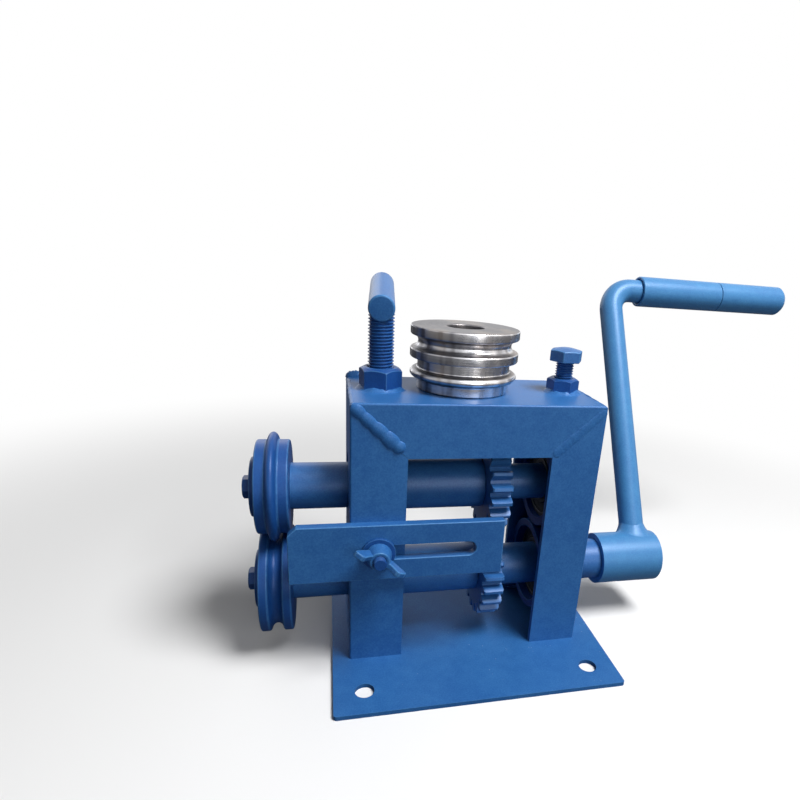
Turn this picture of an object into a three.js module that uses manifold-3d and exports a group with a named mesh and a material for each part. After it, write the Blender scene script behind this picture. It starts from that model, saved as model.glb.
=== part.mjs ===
// Hand cranked sheet metal crimper: two geared roller shafts in a welded channel frame.
// Millimetres. X runs along the shafts towards the crank, Y to the back, Z up.
// The origin is the middle of the base plate's underside, below the plane of both shafts.

import * as THREE from 'three';
import { mergeVertices } from 'three/addons/utils/BufferGeometryUtils.js';
import Module from 'manifold-3d';

const wasm = await Module();
wasm.setup();

// Clearances
const fit_gap = 0.25; // between a bore and what is pressed, bolted or keyed into it
const running_gap = 0.3; // between pieces that slide or turn on each other
const mitre_gap = 0.2; // root gap of the welded corner joints
const overcut = 1; // how far a cutter runs past the face that it opens
const mitre_overcut = 10; // how far a mitre cut runs past the channel

// Base plate
const plate_length = 188;
const plate_depth = 174;
const plate_thickness = 3;
const plate_corner_radius = 2;
const plate_hole_diameter = 12;
const plate_hole_inset = 19;

// Channel frame
const frame_width = 160;
const frame_height = 175;
const frame_offset_x = -3;
const channel_depth = 75;
const channel_flange = 34;
const channel_wall = 4;
const channel_root_radius = 4;
const weld_bead_diameter = 8;
const weld_bead_rise = 2.2;
const weld_margin = 2; // from the bead's ends to the frame's edges

// Shafts
const lower_axis_z = 46.6;
const shaft_diameter = 30;
const tail_diameter = 25;
const spigot_diameter = 24;
const web_hole_gap = 2; // round a shaft where it passes through an upright
const web_slot_down = 2;
const web_slot_up = 5;
const shaft_chamfer = 1;
const spacer_wall = 2; // of the tubes between the left bearings and the gears
const spacer_chamfer = 0.6;
const gear_shoulder_gap = 6; // from the upper gear to the step down to the tail
const tail_end_inset = 2; // from the frame's right face
const shaft_end_inset = 4; // from the crank hub's outer end

// Forming rollers
const roller_width = 20;
const roller_reach = 35.5; // from the frame's left face to the rollers' inner faces
const male_land_diameter = 60;
const ridge_height = 4.8;
const ridge_base_width = 6.4;
const female_land_diameter = 70;
const groove_depth = 5;
const groove_mouth_width = 8.2;
const roller_chamfer = 0.8;
const roller_rest_gap = 1.4; // between the two rollers' plain lands at rest
const roller_bolt_diameter = 8;
const roller_bolt_length = 30;
const roller_bolt_flats = 13;
const roller_bolt_head = 5.3;
const roller_bolt_hole_spare = 2; // past the bolt's end
const spigot_setback = 0.5; // so that the washer presses on the roller and not on the shaft
const roller_washer_diameter = 38;
const roller_washer_thickness = 3.5;

// Gears
const gear_module = 3;
const gear_teeth = 21;
const gear_face = 14;
const gear_centre_x = 97; // from the frame's left face
const pressure_angle_deg = 20;
const tooth_thinning = 0.1; // off each flank, so that the gears run free
const gear_spare = 3.4; // from the gears' pitch distance to the shafts' distance at rest
const key_width = 8;
const key_height = 7;

// Ball bearings and their housings
const main_bearing = { bore: shaft_diameter, outside: 55, width: 13 };
const tail_bearing = { bore: tail_diameter, outside: 52, width: 15 };
const race_thickness = 3.2;
const seal_recess = 0.8;
const lower_housing_diameter = 66;
const upper_housing_diameter = 64;
const housing_gap = 1.4; // between the lower and the upper housings at rest
const lower_housing_length = 25;
const upper_housing_length = 22;
const housing_lip = 3;
const housing_edge_chamfer = 1;
const seat_gap = 0.25; // between a fixed bearing and the shoulder in its housing
const float_gap = 1; // the same at the tail bearing, which lets the shaft tilt and grow
const left_bearing_x = 20; // from the frame's left face
const right_bearing_x = 17.5; // from the frame's right face
const cheek_height = 28;
const cheek_overlap = 10; // how deep the sliding cheeks run into the tube's wall
const cheek_inset = 2.2; // of the cheeks, so that they clear the channel's rounded root

// Pressure screw over the left bearing
const pressure_screw_diameter = 16;
const pressure_nut_flats = 24;
const pressure_nut_height = 14;
const pressure_screw_top_z = 29; // above the nut
const tommy_bar_diameter = 16;
const tommy_bar_front = 10; // from the screw's axis to the bar's front end
const tommy_bar_back = 64; // from the screw's axis to the bar's back end
const tommy_bar_rise_deg = 8;
const tommy_bar_turn_deg = 5;
const tommy_bar_chamfer = 1;
const thrust_pad_diameter = 20;
const thrust_pad_thickness = 5;
const thrust_neck_diameter = 12;
const thrust_neck_height = 7;
const pad_chamfer = 0.6;
const pad_socket_floor = 2;
const screw_tip_diameter = 8;
const screw_end_chamfer = 1.5;
const saddle_depth = 3; // how far the screw's coped top reaches up round the bar
const pad_slot_gap = 0.5; // above and below the pad
const pad_slot_roof = 5;
const pad_slot_floor_z = 1; // above the housing's tube
const slot_side_gap = 0.6;
const boss_width = 34;

// Setting screw over the right bearing
const setting_screw_diameter = 12;
const setting_nut_flats = 19;
const setting_nut_height = 10;
const setting_head_flats = 19;
const setting_head_height = 8;
const setting_head_z = 12; // above the nut
const button_diameter = 14;
const button_height = 5;
const button_pocket_depth = 2;
const button_boss_width = 26;
const button_boss_z = 5; // above the housing's tube

// Edge guide
const guide_length = 133;
const guide_height = 37.5;
const guide_thickness = 6;
const guide_left_x = -36; // from the frame's left face
const guide_centre_z = 38.4; // above the lower shaft's axis
const guide_corner_cut = 5;
const guide_slot_gap = 0.75; // round the clamp bolt
const guide_slot_left_x = 7; // from the clamp bolt's axis to the slot's left end
const guide_slot_right_x = 62; // from the clamp bolt's axis to the slot's right end
const clamp_bolt_x = 17; // from the frame's left face
const clamp_bolt_diameter = 8;
const clamp_bolt_end = 21; // in front of the frame's front face
const clamp_head_flats = 13;
const clamp_head_height = 5.3;
const clamp_washer_diameter = 21;
const clamp_washer_thickness = 2;
const wing_hub_diameter = 16;
const wing_hub_top_diameter = 12;
const wing_hub_height = 9;
const wing_span = 36;
const wing_height = 15;
const wing_thickness = 4;
const wing_turn_deg = -30;
const wing_foot = 1; // from the nut's face to the wings' lower edges
const wing_tip_round = 4;
const hub_foot_height = 1.5; // straight foot of the wing nut's tapered hub
const clamp_bolt_chamfer = 0.8;

// Crank
const hub_diameter = 38.5;
const hub_length = 49.5;
const hub_start_x = 26.5; // from the frame's right face
const hub_chamfer = 1;
const crank_radius = 225;
const crank_rod_x = 35.5; // from the hub's inner end
const crank_rod_diameter = 19;
const crank_bend_radius = 19;
const crank_lean_deg = 29.5;
const grip_diameter = 25;
const grip_start = 27; // from the rod's axis
const grip_sleeve_length = 77.5;
const grip_end_length = 67.5;
const grip_end_wall = 8;
const grip_chamfer = 3;
const grip_edge_chamfer = 0.8;
const crank_rod_sink = 4; // how deep the rod is coped round the hub
const grub_screw_diameter = 8;
const grub_screw_inset = 15; // from the hub's inner end
const grub_screw_recess = 0.4; // below the hub's surface
const grub_socket_flats = 4;
const grub_socket_depth = 2;

// Spare rollers standing on the frame
const spare_x = 7; // from the pressure nut to the larger spare roller
const spare_y = 6;

// Roundness of turned faces
const roller_sides = 36;
const round_sides = 24;
const small_sides = 14;
const hex_face_share = 0.96; // of the flats, left flat on a chamfered hexagon's end
const round_steps = 4; // across a roller's ridge or groove

// Places worked out from the sizes above
const frame_left = frame_offset_x - frame_width / 2;
const frame_right = frame_left + frame_width;
const frame_front = -channel_depth / 2;
const frame_top = plate_thickness + frame_height;
const beam_underside = frame_top - channel_wall;
const flange_inside = channel_depth / 2 - channel_wall;
const web_hole_radius = shaft_diameter / 2 + web_hole_gap;
const roller_inner_x = frame_left - roller_reach;
const roller_outer_x = roller_inner_x - roller_width;
const gear_x = frame_left + gear_centre_x;
const left_bearing_at = frame_left + left_bearing_x;
const right_bearing_at = frame_right - right_bearing_x;
const pad_slot_height = thrust_pad_thickness + 2 * pad_slot_gap;
const pad_slot_floor = upper_housing_diameter / 2 + pad_slot_floor_z;
const button_boss_top = upper_housing_diameter / 2 + button_boss_z;
const housing_middle = channel_wall + lower_housing_length / 2;
const clamp_x = frame_left + clamp_bolt_x;
const guide_centre = lower_axis_z + guide_centre_z;
const hub_x = frame_right + hub_start_x;
const rod_x = hub_x + crank_rod_x;
const rad = THREE.MathUtils.degToRad;

// The shafts stand as close together as their rollers, housings and gears allow
const axis_distance = Math.max(
  (male_land_diameter + female_land_diameter) / 2 + roller_rest_gap,
  (lower_housing_diameter + upper_housing_diameter) / 2 + housing_gap,
  gear_module * gear_teeth + gear_spare,
);
const upper_axis_z = lower_axis_z + axis_distance;

// Finishes
const finish = (color, roughness, metalness) =>
  new THREE.MeshStandardMaterial({ color, roughness, metalness });
const blue_paint = () => finish(0x2b5c93, 0.42, 0.1);
const dark_blue_paint = () => finish(0x234a7c, 0.45, 0.1);
const bare_steel = () => finish(0xb9b6b0, 0.3, 0.9);
const bearing_steel = () => finish(0x9fa3a8, 0.25, 0.9);
const seal_rubber = () => finish(0x17181a, 0.75, 0);

// Turning a shape that is drawn in XY and grows along Z, so that it grows along another axis
const grow_along_x = new THREE.Matrix4().makeBasis(
  new THREE.Vector3(0, 1, 0), new THREE.Vector3(0, 0, 1), new THREE.Vector3(1, 0, 0));
const grow_to_front = new THREE.Matrix4().makeBasis(
  new THREE.Vector3(1, 0, 0), new THREE.Vector3(0, 0, 1), new THREE.Vector3(0, -1, 0));

// A closed geometry as a solid that can be cut and joined
function solid(geometry) {
  const bare = geometry.clone();
  bare.deleteAttribute('normal');
  bare.deleteAttribute('uv');
  const merged = mergeVertices(bare, 1e-4);
  const index = merged.getIndex().array;
  const triangles = [];
  for (let i = 0; i < index.length; i += 3) {
    const [a, b, c] = [index[i], index[i + 1], index[i + 2]];
    if (a !== b && b !== c && c !== a) triangles.push(a, b, c);
  }
  return new wasm.Manifold(new wasm.Mesh({
    numProp: 3,
    vertProperties: new Float32Array(merged.getAttribute('position').array),
    triVerts: new Uint32Array(triangles),
  }));
}

// A solid as a geometry with flat faces
function geometry_of(body) {
  const mesh = body.getMesh();
  const geometry = new THREE.BufferGeometry();
  geometry.setAttribute('position', new THREE.BufferAttribute(new Float32Array(mesh.vertProperties), 3));
  geometry.setIndex(new THREE.BufferAttribute(new Uint32Array(mesh.triVerts), 1));
  geometry.computeVertexNormals();
  return geometry;
}

const points = (pairs) => pairs.map(([x, y]) => new THREE.Vector2(x, y));
const shape_of = (pairs) => new THREE.Shape(points(pairs));

// A shape that grows along Z, X or towards the front
function extruded(shape, length, curve_segments = 6) {
  return new THREE.ExtrudeGeometry(shape, {
    depth: length, bevelEnabled: false, curveSegments: curve_segments });
}
const extruded_x = (shape, length) => extruded(shape, length).applyMatrix4(grow_along_x);
const extruded_front = (shape, length) => extruded(shape, length).applyMatrix4(grow_to_front);

// A turned form from its profile of [radius, along] points, round X or round Z
function turned_z(profile, sides) {
  return new THREE.LatheGeometry(points(profile), sides).rotateX(Math.PI / 2);
}
function turned_x(profile, sides) {
  return new THREE.LatheGeometry(points(profile), sides).rotateZ(-Math.PI / 2);
}

// A chamfered rod's profile from one end to the other
function rod_profile(radius, start, end, chamfer = 0) {
  return [
    [0, start], [radius - chamfer, start], [radius, start + chamfer],
    [radius, end - chamfer], [radius - chamfer, end], [0, end],
  ];
}

// A chamfered ring's profile, closed on itself
function ring_profile(inner, outer, start, end, chamfer = 0) {
  if (chamfer === 0) return [[inner, start], [outer, start], [outer, end], [inner, end], [inner, start]];
  return [
    [inner, start], [outer - chamfer, start], [outer, start + chamfer],
    [outer, end - chamfer], [outer - chamfer, end], [inner, end], [inner, start],
  ];
}

// A plain round cutter
const cutter_x = (radius, start, end, sides) => solid(turned_x(rod_profile(radius, start, end), sides));
const cutter_z = (radius, start, end, sides) => solid(turned_z(rod_profile(radius, start, end), sides));
function box(x0, x1, y0, y1, z0, z1) {
  const geometry = new THREE.BoxGeometry(x1 - x0, y1 - y0, z1 - z0);
  return geometry.translate((x0 + x1) / 2, (y0 + y1) / 2, (z0 + z1) / 2);
}

// A hexagon with flats facing X, or with corners facing X
function hexagon(flats, corners_on_x) {
  const radius = flats / Math.sqrt(3);
  const start = corners_on_x ? 0 : Math.PI / 6;
  const corners = [];
  for (let i = 0; i < 6; i += 1) {
    const angle = start + i * Math.PI / 3;
    corners.push([radius * Math.cos(angle), radius * Math.sin(angle)]);
  }
  return shape_of(corners);
}

// A hexagon prism along Z whose top corners are turned off at 30 degrees
function hex_body(flats, height, corners_on_x, both_ends = false) {
  const body = solid(extruded(hexagon(flats, corners_on_x), height));
  const corner = flats / Math.sqrt(3) + overcut;
  const face = flats / 2 * hex_face_share;
  const drop = (corner - face) * Math.tan(rad(30));
  const crown = both_ends
    ? [[0, 0], [face, 0], [corner, drop], [corner, height - drop], [face, height], [0, height]]
    : [[0, 0], [corner, 0], [corner, height - drop], [face, height], [0, height]];
  return body.intersect(solid(turned_z(crown, round_sides)));
}

const part = new THREE.Group();

function group_at(parent, x, y, z) {
  const group = new THREE.Group();
  group.position.set(x, y, z);
  parent.add(group);
  return group;
}

function piece(parent, name, form, material) {
  const geometry = form instanceof wasm.Manifold ? geometry_of(form) : geometry_of(solid(form));
  const mesh = new THREE.Mesh(geometry, material);
  mesh.name = name;
  parent.add(mesh);
  return mesh;
}

// Base plate with four mounting holes
function base_plate() {
  const x = plate_length / 2;
  const y = plate_depth / 2;
  const r = plate_corner_radius;
  const outline = new THREE.Shape();
  outline.moveTo(-x + r, -y);
  outline.lineTo(x - r, -y);
  outline.absarc(x - r, -y + r, r, -Math.PI / 2, 0);
  outline.absarc(x - r, y - r, r, 0, Math.PI / 2);
  outline.absarc(-x + r, y - r, r, Math.PI / 2, Math.PI);
  outline.absarc(-x + r, -y + r, r, Math.PI, Math.PI * 1.5);
  const plate = extruded(outline, plate_thickness, 3);
  let body = solid(plate);
  for (const side of [-1, 1]) {
    for (const end of [-1, 1]) {
      const hole = cutter_z(plate_hole_diameter / 2, -overcut, plate_thickness + overcut, small_sides);
      body = body.subtract(hole.translate([
        side * (x - plate_hole_inset), end * (y - plate_hole_inset), 0]));
    }
  }
  piece(part, 'base_plate', body, blue_paint());
}

// The channel's section: web along the first axis' zero, flanges growing to the right
function channel_section() {
  const half = channel_depth / 2;
  const inside = half - channel_wall;
  const r = channel_root_radius;
  const section = new THREE.Shape();
  section.moveTo(0, -half);
  section.lineTo(channel_flange, -half);
  section.lineTo(channel_flange, -inside);
  section.lineTo(channel_wall + r, -inside);
  section.absarc(channel_wall + r, -inside + r, r, -Math.PI / 2, -Math.PI, true);
  section.absarc(channel_wall + r, inside - r, r, Math.PI, Math.PI / 2, true);
  section.lineTo(channel_flange, inside);
  section.lineTo(channel_flange, half);
  section.lineTo(0, half);
  return section;
}

// The wedge that a mitre cut takes off a channel's end, drawn in the XZ plane
function wedge(corners) {
  const width = channel_depth + 2 * mitre_overcut;
  return solid(extruded_front(shape_of(corners), width).translate(0, width / 2, 0));
}

// An upright, drawn with its web's outer face at zero and its flanges growing to +X
function upright(upper_hole) {
  const post = extruded(channel_section(), frame_height, 4).translate(0, 0, plate_thickness);
  const past = mitre_overcut;
  const reach = channel_flange + past;
  const top = frame_top + past;
  const root = frame_top - mitre_gap / 2;
  const cut = wedge([[-past, root + past], [reach, root - reach], [reach, top], [-past, top + past]]);
  const lower_hole = cutter_x(web_hole_radius, -overcut, channel_wall + overcut, round_sides)
    .translate([0, 0, lower_axis_z]);
  return solid(post).subtract(cut).subtract(lower_hole).subtract(upper_hole);
}

function left_upright() {
  const slot = new THREE.Shape();
  slot.absarc(0, web_slot_up, web_hole_radius, 0, Math.PI);
  slot.absarc(0, -web_slot_down, web_hole_radius, Math.PI, Math.PI * 2);
  const slot_cutter = extruded(slot, channel_wall + 2 * overcut, round_sides / 2).applyMatrix4(grow_along_x);
  const slot_cut = solid(slot_cutter).translate([-overcut, 0, upper_axis_z]);
  const bolt_radius = clamp_bolt_diameter / 2 + running_gap;
  const bolt_hole = cutter_z(bolt_radius, -overcut, channel_wall + overcut, small_sides)
    .rotate([-90, 0, 0]).translate([clamp_bolt_x, frame_front, guide_centre]);
  const body = upright(slot_cut).subtract(bolt_hole);
  piece(part, 'left_upright', body, blue_paint()).position.x = frame_left;
}

function right_upright() {
  const hole = cutter_x(web_hole_radius, -overcut, channel_wall + overcut, round_sides)
    .translate([0, 0, upper_axis_z]);
  const mesh = piece(part, 'right_upright', upright(hole), blue_paint());
  mesh.position.x = frame_right;
  mesh.rotation.z = Math.PI;
}

// Top beam: the same channel with its web on top, mitred at both ends, with two screw holes
function top_beam() {
  const length = frame_width;
  const section = extruded(channel_section(), length, 4)
    .applyMatrix4(new THREE.Matrix4().makeBasis(
      new THREE.Vector3(0, 0, -1), new THREE.Vector3(0, 1, 0), new THREE.Vector3(1, 0, 0)));
  const past = mitre_overcut;
  const reach = channel_flange + past;
  const root = mitre_gap / 2;
  const low = -reach - past;
  const left_cut = wedge([[-past, past + root], [-past, low], [reach, low], [reach, -reach + root]]);
  const right_cut = left_cut.mirror([1, 0, 0]).translate([length, 0, 0]);
  const hole = (x, diameter) =>
    cutter_z(diameter / 2 + running_gap, -channel_wall - overcut, overcut, small_sides).translate([x, 0, 0]);
  const body = solid(section).subtract(left_cut).subtract(right_cut)
    .subtract(hole(left_bearing_x, pressure_screw_diameter))
    .subtract(hole(length - right_bearing_x, setting_screw_diameter));
  piece(part, 'top_beam', body, blue_paint()).position.set(frame_left, 0, frame_top);
}

// A weld bead on the frame's front face, along the mitre from the outer corner to the inner one
function corner_weld(name, corner_x, side) {
  const run = (channel_flange - weld_margin) * Math.SQRT2;
  const radius = weld_bead_diameter / 2;
  const sink = radius - weld_bead_rise;
  const bead = new THREE.CapsuleGeometry(radius, run - 2 * radius, 4, 10, 1)
    .translate(0, -run / 2 - weld_margin / 2, 0).applyMatrix4(grow_to_front).rotateY(side * Math.PI / 4);
  const body = solid(bead).translate([corner_x, frame_front + sink, frame_top - weld_margin / 2])
    .subtract(solid(box(-frame_width, frame_width, frame_front, 0, 0, frame_top + overcut)));
  piece(part, name, body, blue_paint());
}

// A nut welded on the beam over a screw hole
function welded_nut(name, x, flats, height, screw_diameter, corners_on_x) {
  const bore = cutter_z(screw_diameter / 2 + running_gap, -overcut, height + overcut, small_sides);
  const body = hex_body(flats, height, corners_on_x).subtract(bore);
  piece(part, name, body, dark_blue_paint()).position.set(x, 0, frame_top);
}

// Bearing housings: a short tube with a lip that the bearing seats against on the web's side.
// The foot is chamfered, so that it clears the channel's rounded roots, and a tube that is wider
// than the space between the flanges has flat sides.
function housing_tube(diameter, length, bearing, clearance, float, foot_chamfer) {
  const bore = bearing.outside / 2 + clearance;
  const seat = (length - bearing.width) / 2 - float;
  const outside = diameter / 2;
  const tube = solid(turned_x([
    [bore - housing_lip, 0], [outside - foot_chamfer, 0], [outside, foot_chamfer], [outside, length],
    [bore, length], [bore, seat], [bore - housing_lip, seat], [bore - housing_lip, 0],
  ], round_sides));
  const side = flange_inside - clearance;
  return tube.intersect(solid(box(0, length, -side, side, -diameter, diameter)));
}

function lower_housings() {
  const tube = housing_tube(lower_housing_diameter, lower_housing_length, main_bearing, fit_gap, seat_gap,
    channel_root_radius);
  const left = piece(part, 'lower_left_housing', tube, blue_paint());
  left.position.set(frame_left + channel_wall, 0, lower_axis_z);
  const right = piece(part, 'lower_right_housing', tube, blue_paint());
  right.position.set(frame_right - channel_wall, 0, lower_axis_z);
  right.rotation.z = Math.PI;
}

const housing_bore = (bearing, clearance) =>
  cutter_x(bearing.outside / 2 + clearance, -overcut, upper_housing_length + overcut, round_sides);

// A housing tube with two cheeks that slide between the channel's flanges
function sliding_housing(bearing, clearance, float) {
  const tube = housing_tube(upper_housing_diameter, upper_housing_length, bearing, clearance, float,
    housing_edge_chamfer);
  const inner = upper_housing_diameter / 2 - cheek_overlap;
  const outer = flange_inside - running_gap;
  const z = cheek_height / 2;
  const cheeks = solid(box(cheek_inset, upper_housing_length, inner, outer, -z, z))
    .add(solid(box(cheek_inset, upper_housing_length, -outer, -inner, -z, z)));
  return tube.add(cheeks.subtract(housing_bore(bearing, clearance)));
}

// The left housing hangs from the pressure screw's pad in a slot that is open along X
function upper_left_housing(parent) {
  const length = upper_housing_length;
  const roof = pad_slot_floor + pad_slot_height + pad_slot_roof;
  const boss = solid(box(0, length, -boss_width / 2, boss_width / 2, cheek_height / 2, roof));
  const head = thrust_pad_diameter / 2 + slot_side_gap;
  const neck = thrust_neck_diameter / 2 + slot_side_gap;
  const [from, to] = [-overcut, length + overcut];
  const slot = solid(box(from, to, -head, head, pad_slot_floor, pad_slot_floor + pad_slot_height))
    .add(solid(box(from, to, -neck, neck, pad_slot_floor, roof + overcut)));
  const body = sliding_housing(main_bearing, fit_gap, seat_gap)
    .add(boss.subtract(housing_bore(main_bearing, fit_gap))).subtract(slot);
  piece(parent, 'upper_left_housing', body, blue_paint()).position.x = -length / 2;
}

// The right housing has a flat boss with a pocket for the setting screw's button
function upper_right_housing(parent) {
  const length = upper_housing_length;
  const half = button_boss_width / 2;
  const boss = solid(box(0, length, -half, half, cheek_height / 2, button_boss_top));
  const pocket = cutter_z(button_diameter / 2 + running_gap, button_boss_top - button_pocket_depth,
    button_boss_top + overcut, small_sides).translate([length / 2, 0, 0]);
  const body = sliding_housing(tail_bearing, running_gap, float_gap)
    .add(boss.subtract(housing_bore(tail_bearing, running_gap))).subtract(pocket);
  const mesh = piece(parent, 'upper_right_housing', body, blue_paint());
  mesh.position.x = length / 2;
  mesh.rotation.z = Math.PI;
}

// A sealed ball bearing: its outer race and seals stay, its inner race turns with the shaft
function ball_bearing(name, bearing, x, still_parent, turning_parent) {
  const half = bearing.width / 2;
  const bore = bearing.bore / 2 + fit_gap;
  const outside = bearing.outside / 2;
  const inner_race = ring_profile(bore, bore + race_thickness, -half, half);
  const outer_race = ring_profile(outside - race_thickness, outside, -half, half);
  const seal = ring_profile(bore + race_thickness + running_gap, outside - race_thickness - fit_gap,
    -half + seal_recess, half - seal_recess);
  const ring = (parent, role, profile, material) =>
    piece(parent, `${name}_${role}`, turned_x(profile, round_sides), material).position.x = x;
  ring(turning_parent, 'inner_race', inner_race, bearing_steel());
  ring(still_parent, 'outer_race', outer_race, bearing_steel());
  ring(still_parent, 'seal', seal, seal_rubber());
}

// Profile of the male roller from its outer face inwards: land, rounded ridge, land
function male_profile() {
  const land = male_land_diameter / 2;
  const bore = spigot_diameter / 2 + fit_gap;
  const middle = roller_width / 2;
  const half = ridge_base_width / 2;
  const ridge = [];
  for (let i = 0; i <= round_steps; i += 1) {
    const angle = Math.PI * i / round_steps;
    ridge.push([land + ridge_height * Math.sin(angle), middle - half * Math.cos(angle)]);
  }
  const c = roller_chamfer;
  return [
    [bore, 0], [land - c, 0], [land, c], ...ridge,
    [land, roller_width - c], [land - c, roller_width], [bore, roller_width], [bore, 0],
  ];
}

// Profile of the female roller: flange, round-bottomed groove, flange
function female_profile() {
  const land = female_land_diameter / 2;
  const bore = spigot_diameter / 2 + fit_gap;
  const middle = roller_width / 2;
  const half = groove_mouth_width / 2;
  const groove = [];
  for (let i = 0; i <= round_steps; i += 1) {
    const angle = Math.PI * i / round_steps;
    groove.push([land - groove_depth * Math.sin(angle), middle - half * Math.cos(angle)]);
  }
  const c = roller_chamfer;
  return [
    [bore, 0], [land - c, 0], [land, c], ...groove,
    [land, roller_width - c], [land - c, roller_width], [bore, roller_width], [bore, 0],
  ];
}

// The washer and bolt that hold a roller on its shaft's spigot
function roller_fastening(parent, name) {
  const washer = ring_profile(roller_bolt_diameter / 2 + fit_gap, roller_washer_diameter / 2,
    -roller_washer_thickness, 0);
  piece(parent, `${name}_roller_washer`, turned_x(washer, small_sides), dark_blue_paint())
    .position.x = roller_outer_x;
  const head = hex_body(roller_bolt_flats, roller_bolt_head, false).rotate([0, -90, 0]);
  const shank = cutter_x(roller_bolt_diameter / 2, -roller_bolt_head / 2, roller_bolt_length, small_sides);
  piece(parent, `${name}_roller_bolt`, head.add(shank), dark_blue_paint())
    .position.x = roller_outer_x - roller_washer_thickness;
}

// The tapped hole for the roller's bolt in the end of a shaft
function bolt_hole_in(shaft) {
  const end = roller_outer_x + roller_bolt_length + roller_bolt_hole_spare;
  return shaft.subtract(cutter_x(roller_bolt_diameter / 2 + fit_gap, roller_outer_x, end, small_sides));
}

// The spigot and the shoulder that carry a roller, as the start of a shaft's profile
function roller_seat_profile(spigot, body) {
  const start = roller_outer_x + spigot_setback;
  const c = shaft_chamfer;
  return [
    [0, start], [spigot - c, start], [spigot, start + c],
    [spigot, roller_inner_x], [body - c, roller_inner_x], [body, roller_inner_x + c],
  ];
}

// The seat for a gear's key, cut from above in a shaft
function key_seat() {
  const half = key_width / 2 + fit_gap;
  const reach = gear_face / 2 + fit_gap;
  const floor = shaft_diameter / 2 - key_height / 2 - fit_gap;
  return solid(box(gear_x - reach, gear_x + reach, -half, half, floor, shaft_diameter));
}

// An involute spur gear round X with a tooth pointing up and a keyway
function gear_body() {
  const pitch = gear_module * gear_teeth / 2;
  const tip = pitch + gear_module;
  const root = pitch - 1.25 * gear_module;
  const base = pitch * Math.cos(rad(pressure_angle_deg));
  const involute = (radius) => {
    const a = Math.sqrt(Math.max((radius / base) ** 2 - 1, 0));
    return a - Math.atan(a);
  };
  const half_tooth = Math.PI / (2 * gear_teeth) - tooth_thinning / pitch;
  const half_angle = (radius) => half_tooth + involute(pitch) - involute(Math.max(radius, base));
  const flank = [root, base, pitch, tip];
  const outline = [];
  for (let tooth = 0; tooth < gear_teeth; tooth += 1) {
    const middle = Math.PI / 2 + tooth * 2 * Math.PI / gear_teeth;
    const side = (radius, sign) => {
      const angle = middle + sign * half_angle(radius);
      outline.push([radius * Math.cos(angle), radius * Math.sin(angle)]);
    };
    flank.forEach((radius) => side(radius, -1));
    [...flank].reverse().forEach((radius) => side(radius, 1));
  }
  const blank = solid(extruded_x(shape_of(outline), gear_face)).translate([-gear_face / 2, 0, 0]);
  const bore = cutter_x(shaft_diameter / 2 + fit_gap, -gear_face, gear_face, round_sides);
  const half_key = key_width / 2 + fit_gap;
  const keyway = solid(box(-gear_face, gear_face, -half_key, half_key, 0,
    shaft_diameter / 2 + key_height / 2 + fit_gap));
  return blank.subtract(bore).subtract(keyway);
}

function gear_and_key(parent, name) {
  piece(parent, `${name}_gear`, gear_body(), dark_blue_paint()).position.x = gear_x;
  const half = key_width / 2;
  const low = shaft_diameter / 2 - key_height / 2;
  piece(parent, `${name}_gear_key`, box(-gear_face / 2, gear_face / 2, -half, half, low, low + key_height),
    bearing_steel()).position.x = gear_x;
}

// The tube on a shaft that stands between its left bearing and its gear
function spacer(parent, name, bearing_x) {
  const start = bearing_x + main_bearing.width / 2 + fit_gap;
  const end = gear_x - gear_face / 2 - fit_gap;
  const bore = shaft_diameter / 2 + fit_gap;
  const tube = ring_profile(bore, shaft_diameter / 2 + spacer_wall, start, end, spacer_chamfer);
  piece(parent, `${name}_spacer`, turned_x(tube, round_sides), blue_paint());
}

// The upper shaft steps down behind the gear to its tail bearing
function upper_shaft(parent) {
  const spigot = spigot_diameter / 2;
  const body = shaft_diameter / 2;
  const tail = tail_diameter / 2;
  const step = gear_x + gear_face / 2 + gear_shoulder_gap;
  const end = frame_right - tail_end_inset;
  const c = shaft_chamfer;
  const profile = [
    ...roller_seat_profile(spigot, body),
    [body, step - c], [body - c, step], [tail, step], [tail, end - c], [tail - c, end], [0, end],
  ];
  const shaft = bolt_hole_in(solid(turned_x(profile, round_sides))).subtract(key_seat());
  piece(parent, 'upper_shaft', shaft, blue_paint());
  piece(parent, 'upper_roller', turned_x(male_profile(), roller_sides), dark_blue_paint())
    .position.x = roller_outer_x;
  roller_fastening(parent, 'upper');
  gear_and_key(parent, 'upper');
  spacer(parent, 'upper', left_bearing_at);
}

// The lower shaft runs through both uprights into the crank's hub
function lower_shaft(parent) {
  const spigot = spigot_diameter / 2;
  const body = shaft_diameter / 2;
  const end = hub_x + hub_length - shaft_end_inset;
  const c = shaft_chamfer;
  const profile = [...roller_seat_profile(spigot, body), [body, end - c], [body - c, end], [0, end]];
  const shaft = bolt_hole_in(solid(turned_x(profile, round_sides))).subtract(key_seat());
  piece(parent, 'lower_shaft', shaft, blue_paint());
  piece(parent, 'lower_roller', turned_x(female_profile(), roller_sides), dark_blue_paint())
    .position.x = roller_outer_x;
  roller_fastening(parent, 'lower');
  gear_and_key(parent, 'lower');
  spacer(parent, 'lower', frame_left + housing_middle);
}

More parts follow.
